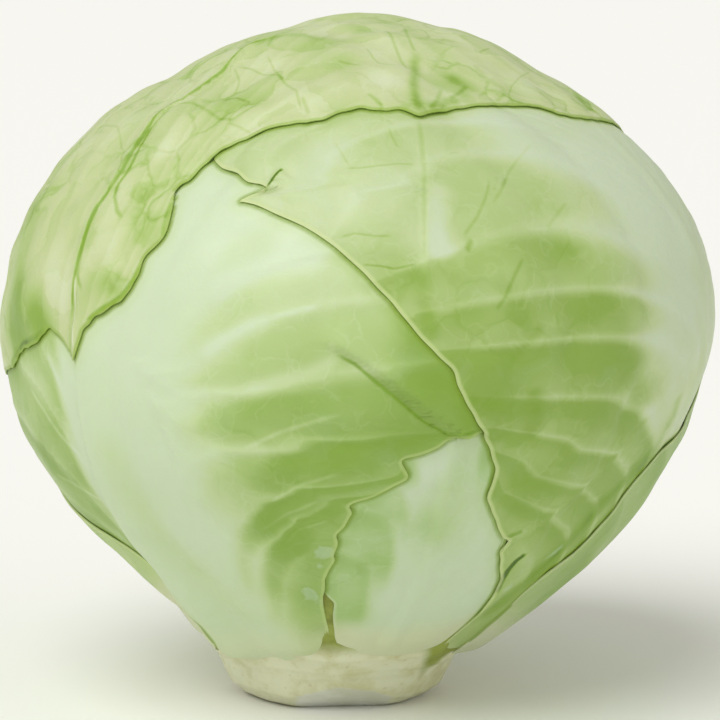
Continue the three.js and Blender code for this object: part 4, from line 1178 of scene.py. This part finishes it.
def leaf_material(leaf, finish):
    material = new_material("waxy_cabbage_" + leaf["name"])
    tree = material.node_tree
    place = add(tree, "Attribute", {}, "Vector", attribute_name="place")
    wander = add(tree, "TexNoise", {"Vector": place, "Scale": 1 / WANDER, "Detail": 3.0}, "Color")
    wander = add(tree, "VectorMath", {0: wander, 1: (0.5, 0.5, 0.5)}, operation="SUBTRACT")
    shift = add(tree, "VectorMath", {0: wander, "Scale": 0.02}, operation="SCALE")
    bent = add(tree, "VectorMath", {0: place, 1: shift}, operation="ADD")
    green, lines, broad, height = leaf_green(tree, place, bent, finish)
    # Painted shade: the green is deepened within 5 mm of the margin of a leaf laid over this one.
    under_edge = add(tree, "Attribute", {}, "Fac", attribute_name="under_edge")
    shade_beside_margin = add(tree, "MapRange", {0: under_edge, 1: 0.005, 2: 0.0}, **SOFT_STEP)
    green = add(tree, "Math", {0: shade_beside_margin, 1: 0.2, 2: green}, **TIMES_PLUS)
    green = add(tree, "Math", {0: green, 1: lines}, **PLUS)
    half = add(tree, "Math", {0: green, 1: 0.5}, **TIMES)
    skin_colour = add(tree, "ValToRGB", {"Fac": half}, "Color")
    stops = list(zip((0, 0.175, 0.35, 0.5, 0.75, 1), (*finish["greens"], OLIVE, DARKEST)))
    ramp = skin_colour.node.color_ramp
    for _ in stops[2:]:
        ramp.elements.new(0.5)
    for stop, (position, screen) in zip(ramp.elements, stops):
        stop.position, stop.color = position, colour(screen)
    bloom = add(tree, "TexNoise", {"Vector": bent, "Scale": 1 / BLOOM, "Detail": 4.0})
    wax = add(tree, "Attribute", {}, "Fac", attribute_name="wax")
    wax = add(tree, "Math", {0: wax, 1: 0.3, 2: bloom}, **TIMES_PLUS)
    thin_wax = add(tree, "MapRange", {0: bloom, 1: 0.5, 2: 0.75, 4: finish["bloom"]}, **SOFT_STEP)
    thick_wax = add(tree, "MapRange", {0: wax, 1: 0.71, 2: 0.79, 4: 0.36}, **SOFT_STEP)
    waxy = add(tree, "Math", {0: thin_wax, 1: thick_wax}, operation="MAXIMUM")
    inside = add(tree, "Attribute", {}, "Fac", attribute_name="from_margin")
    at_rim = add(tree, "MapRange", {0: inside, 1: 0.0012, 2: 0.0004, 4: finish["rim_share"]}, **SOFT_STEP)
    from_base = add(tree, "Attribute", {}, "Fac", attribute_name="from_base")
    uneven = add(tree, "Math", {0: broad, 1: -0.5}, **PLUS)
    from_base = add(tree, "Math", {0: uneven, 1: 0.05, 2: from_base}, **TIMES_PLUS)
    at_stump = add(tree, "MapRange", {0: from_base, 1: 0.1, 2: 0.03, 4: leaf.get("stump_share", 0.9)}, **SOFT_STEP)
    # Painted shade: an olive line right under the margin of the leaf above.
    shade_under_margin = add(tree, "MapRange", {0: under_edge, 1: 0.0016, 2: 0.0003, 4: 0.8}, **SOFT_STEP)
    for share, screen in ((waxy, WAX_COLOUR), (at_rim, finish["rim"]), (at_stump, STUMP_SKIN), (shade_under_margin, SHADE_UNDER_MARGIN)):
        skin_colour = add(tree, "Mix", {0: share, 6: skin_colour, 7: colour(screen)}, **BLEND)
    gloss = add(tree, "MapRange", {0: bloom, 1: 0.3, 2: 0.7, 3: 0.38, 4: 0.52}, **SOFT_STEP)
    bump = add(tree, "Bump", {"Strength": 0.35, "Distance": 0.0006, "Height": height})
    look = {
        "Base Color": skin_colour, "Roughness": gloss, "IOR": 1.42, "Normal": bump,
        "Subsurface Weight": 0.12, "Subsurface Scale": 0.002, "Subsurface Radius": (0.6, 1.0, 0.25),
    }
    add(tree, "OutputMaterial", {"Surface": add(tree, "BsdfPrincipled", look)})
    return material


print("a bloom patch is", BLOOM * 1000, "mm wide")

# %% [markdown]
# ## Six finishes
# The leaves are not alike. The innermost is pale and a little blue, the lowest two are yellower at the flesh, and
# the top one is the most blistered and has the greenest rim. So each has its own greens and shares of the pattern.

# %% Finish the leaves
FINISHES = [  # greens: flesh, light, fresh and deep
    dict(
        greens=(0xC8D7BA, 0xB8CD9A, 0xA2BF78, 0x8CAE58), rim=0xC4D6A8, rim_share=0.5,
        blotch=0.16, cells=0.1, seams=0.05, net=0.1, bloom=0.12,
    ),
    dict(
        greens=(0xC8D8B6, 0xBED09A, 0xA4BE72, 0x8AAA4C), rim=0xB4CA7C, rim_share=0.6,
        blotch=0.12, cells=0.08, seams=0.05, net=0.08, bloom=0.08,
    ),
    dict(
        greens=(0xC6D4B6, 0xBCCC98, 0xA4BC72, 0x8AA84A), rim=0xCBD99A, rim_share=0.6,
        blotch=0.14, cells=0.1, seams=0.06, net=0.08, bloom=0.08,
    ),
    dict(
        greens=(0xC6D2A4, 0xB2C880, 0x96B45C, 0x7A9E3E), rim=0xCBD99A, rim_share=0.6,
        blotch=0.12, cells=0.1, seams=0.06, net=0.08, bloom=0.1,
    ),
    dict(
        greens=(0xC8CEAE, 0xB4C490, 0x98B468, 0x7FA048), rim=0xC6D0A0, rim_share=0.5,
        blotch=0.12, cells=0.1, seams=0.06, net=0.08, bloom=0.1,
    ),
    dict(
        greens=(0xD2DCB8, 0xC0CC96, 0xA6BE70, 0x8AAA44), rim=0x8FAE3C, rim_share=0.7,
        blotch=0.3, cells=0.3, seams=0.27, net=0.07, bloom=0.08,
    ),
]
for piece, leaf, finish in zip(blades, LEAVES, FINISHES):
    piece.data.materials.append(leaf_material(leaf, finish))
print("leaf materials:", len(FINISHES))

# %% [markdown]
# ## Stump flesh
# The stump is pithy and cream, with corky brown specks where leaves were broken off, and it is whitest on the
# fresh cut. Up between the leaves the heart is a darker olive green, partly its own tint and partly painted shade
# of the gaps between the leaves. Pith is dry and porous, so the surface is rougher than a leaf and has almost no
# gloss.

# %% Stump material
STAIN, CORK = 0.009, 0.0016  # pattern sizes in metres
HEART_ENDS, COLLAR_STARTS = 151.0, 155.5  # polar angles, with the olive gap taken off where it reaches lower


def stump_material():
    material = new_material("pithy_cabbage_stump")
    tree = material.node_tree
    place = add(tree, "TexCoord", {}, "Object")
    polar = add(tree, "Attribute", {}, "Fac", attribute_name="polar")
    cut = add(tree, "Attribute", {}, "Fac", attribute_name="cut")
    stains = add(tree, "TexNoise", {"Vector": place, "Scale": 1 / STAIN, "Detail": 4.0, "Roughness": 0.6})
    specks = add(tree, "TexNoise", {"Vector": place, "Scale": 1 / CORK, "Detail": 2.0})
    yellowed = add(tree, "MapRange", {0: stains, 1: 0.4, 2: 0.66}, **SOFT_STEP)
    corky = add(tree, "MapRange", {0: specks, 1: 0.64, 2: 0.74, 4: 0.35}, **SOFT_STEP)
    cloudy = add(tree, "MapRange", {0: stains, 1: 0.35, 2: 0.7}, **SOFT_STEP)
    below_heart = add(tree, "MapRange", {0: polar, 1: HEART_ENDS, 2: COLLAR_STARTS}, **SOFT_STEP)
    collar = add(tree, "Mix", {0: yellowed, 6: colour(0xDEE0C2), 7: colour(0xCDCCA0)}, **BLEND)
    collar = add(tree, "Mix", {0: corky, 6: collar, 7: colour(0xB8A878)}, **BLEND)
    # The heart's olive is partly its own tint and partly painted shade of the gaps between the leaves.
    heart = add(tree, "Mix", {0: cloudy, 6: colour(0x98A44A), 7: colour(0x767E2A)}, **BLEND)
    fresh_cut = add(tree, "Mix", {0: cloudy, 6: colour(0xE6E8DC), 7: colour(0xD4D6C2)}, **BLEND)
    skin_colour = add(tree, "Mix", {0: below_heart, 6: heart, 7: collar}, **BLEND)
    skin_colour = add(tree, "Mix", {0: cut, 6: skin_colour, 7: fresh_cut}, **BLEND)
    bump = add(tree, "Bump", {"Strength": 0.4, "Distance": 0.0005, "Height": stains})
    look = {
        "Base Color": skin_colour, "Roughness": 0.6, "IOR": 1.4, "Normal": bump,
        "Subsurface Weight": 0.1, "Subsurface Scale": 0.002, "Subsurface Radius": (1.0, 0.9, 0.5),
    }
    add(tree, "OutputMaterial", {"Surface": add(tree, "BsdfPrincipled", look)})
    return material


flesh.data.materials.append(stump_material())
print("stump material set")

# %% [markdown]
# ## Floor
# A plain pale floor of matt paper that runs far back. It is one flat face, because only its colour and the soft
# shadow on it are seen.

# %% Pale floor
deselect_all()
bpy.ops.mesh.primitive_plane_add(size=12, location=(0, 0, 0))
floor = bpy.context.object
floor.name = "pale_floor"
paper = new_material("white_paper")
matt = add(paper.node_tree, "BsdfPrincipled", {"Base Color": colour(0xF8F8F5), "Roughness": 0.8})
add(paper.node_tree, "OutputMaterial", {"Surface": matt})
floor.data.materials.append(paper)
print("floor:", floor.name)

# %% [markdown]
# ## Light
# A broad soft light from above and to the left, as from a large window, and a weaker one from the right. They are
# made as wide suns, which light the far floor as evenly as the near one. A pale sky fills the shadows.

# %% Soft light
world = bpy.data.worlds.new("studio")
bpy.context.scene.world = world
world.use_nodes = True
world.node_tree.nodes["Background"].inputs["Color"].default_value = colour(0xFFFDF6)
world.node_tree.nodes["Background"].inputs["Strength"].default_value = 0.51


def soft_lamp(name, place, aim, strength, softness):
    lamp = bpy.data.lights.new(name, "SUN")
    lamp.energy, lamp.angle = strength, math.radians(softness)
    holder = bpy.data.objects.new(name, lamp)
    bpy.context.scene.collection.objects.link(holder)
    gaze = np.array(aim) - np.array(place)
    holder.location = place
    holder.rotation_euler = Vector(gaze).to_track_quat("-Z", "Y").to_euler()


soft_lamp("window_light", (-0.4, -0.55, 1.0), (0, 0, 0.09), 1.9, 45)
soft_lamp("fill_light", (0.9, -0.6, 0.45), (0, 0, 0.08), 0.32, 60)
print("lamps set")

# %% [markdown]
# ## Camera
# The photograph was taken from a little above the table with a long lens, so the head shows almost no
# perspective. The camera stands far back and a few degrees up, and looks level with the middle of the head.

# %% The camera
ELEVATION = 8 * DEGREE
DISTANCE = 0.9
LOOK_AT = (0.0060, 0.0, 0.0843)  # the middle of the picture, in metres
camera_data = bpy.data.cameras.new("camera")
camera_data.sensor_width, camera_data.lens = 36, 180
camera = bpy.data.objects.new("camera", camera_data)
bpy.context.scene.collection.objects.link(camera)
back, up = DISTANCE * math.cos(ELEVATION), DISTANCE * math.sin(ELEVATION)
camera.location = (LOOK_AT[0], LOOK_AT[1] - back, LOOK_AT[2] + up)
camera.rotation_euler = (math.pi / 2 - ELEVATION, 0, 0)
bpy.context.scene.camera = camera
bpy.context.scene.view_settings.view_transform = "Standard"
print("camera at", [round(v, 3) for v in camera.location])
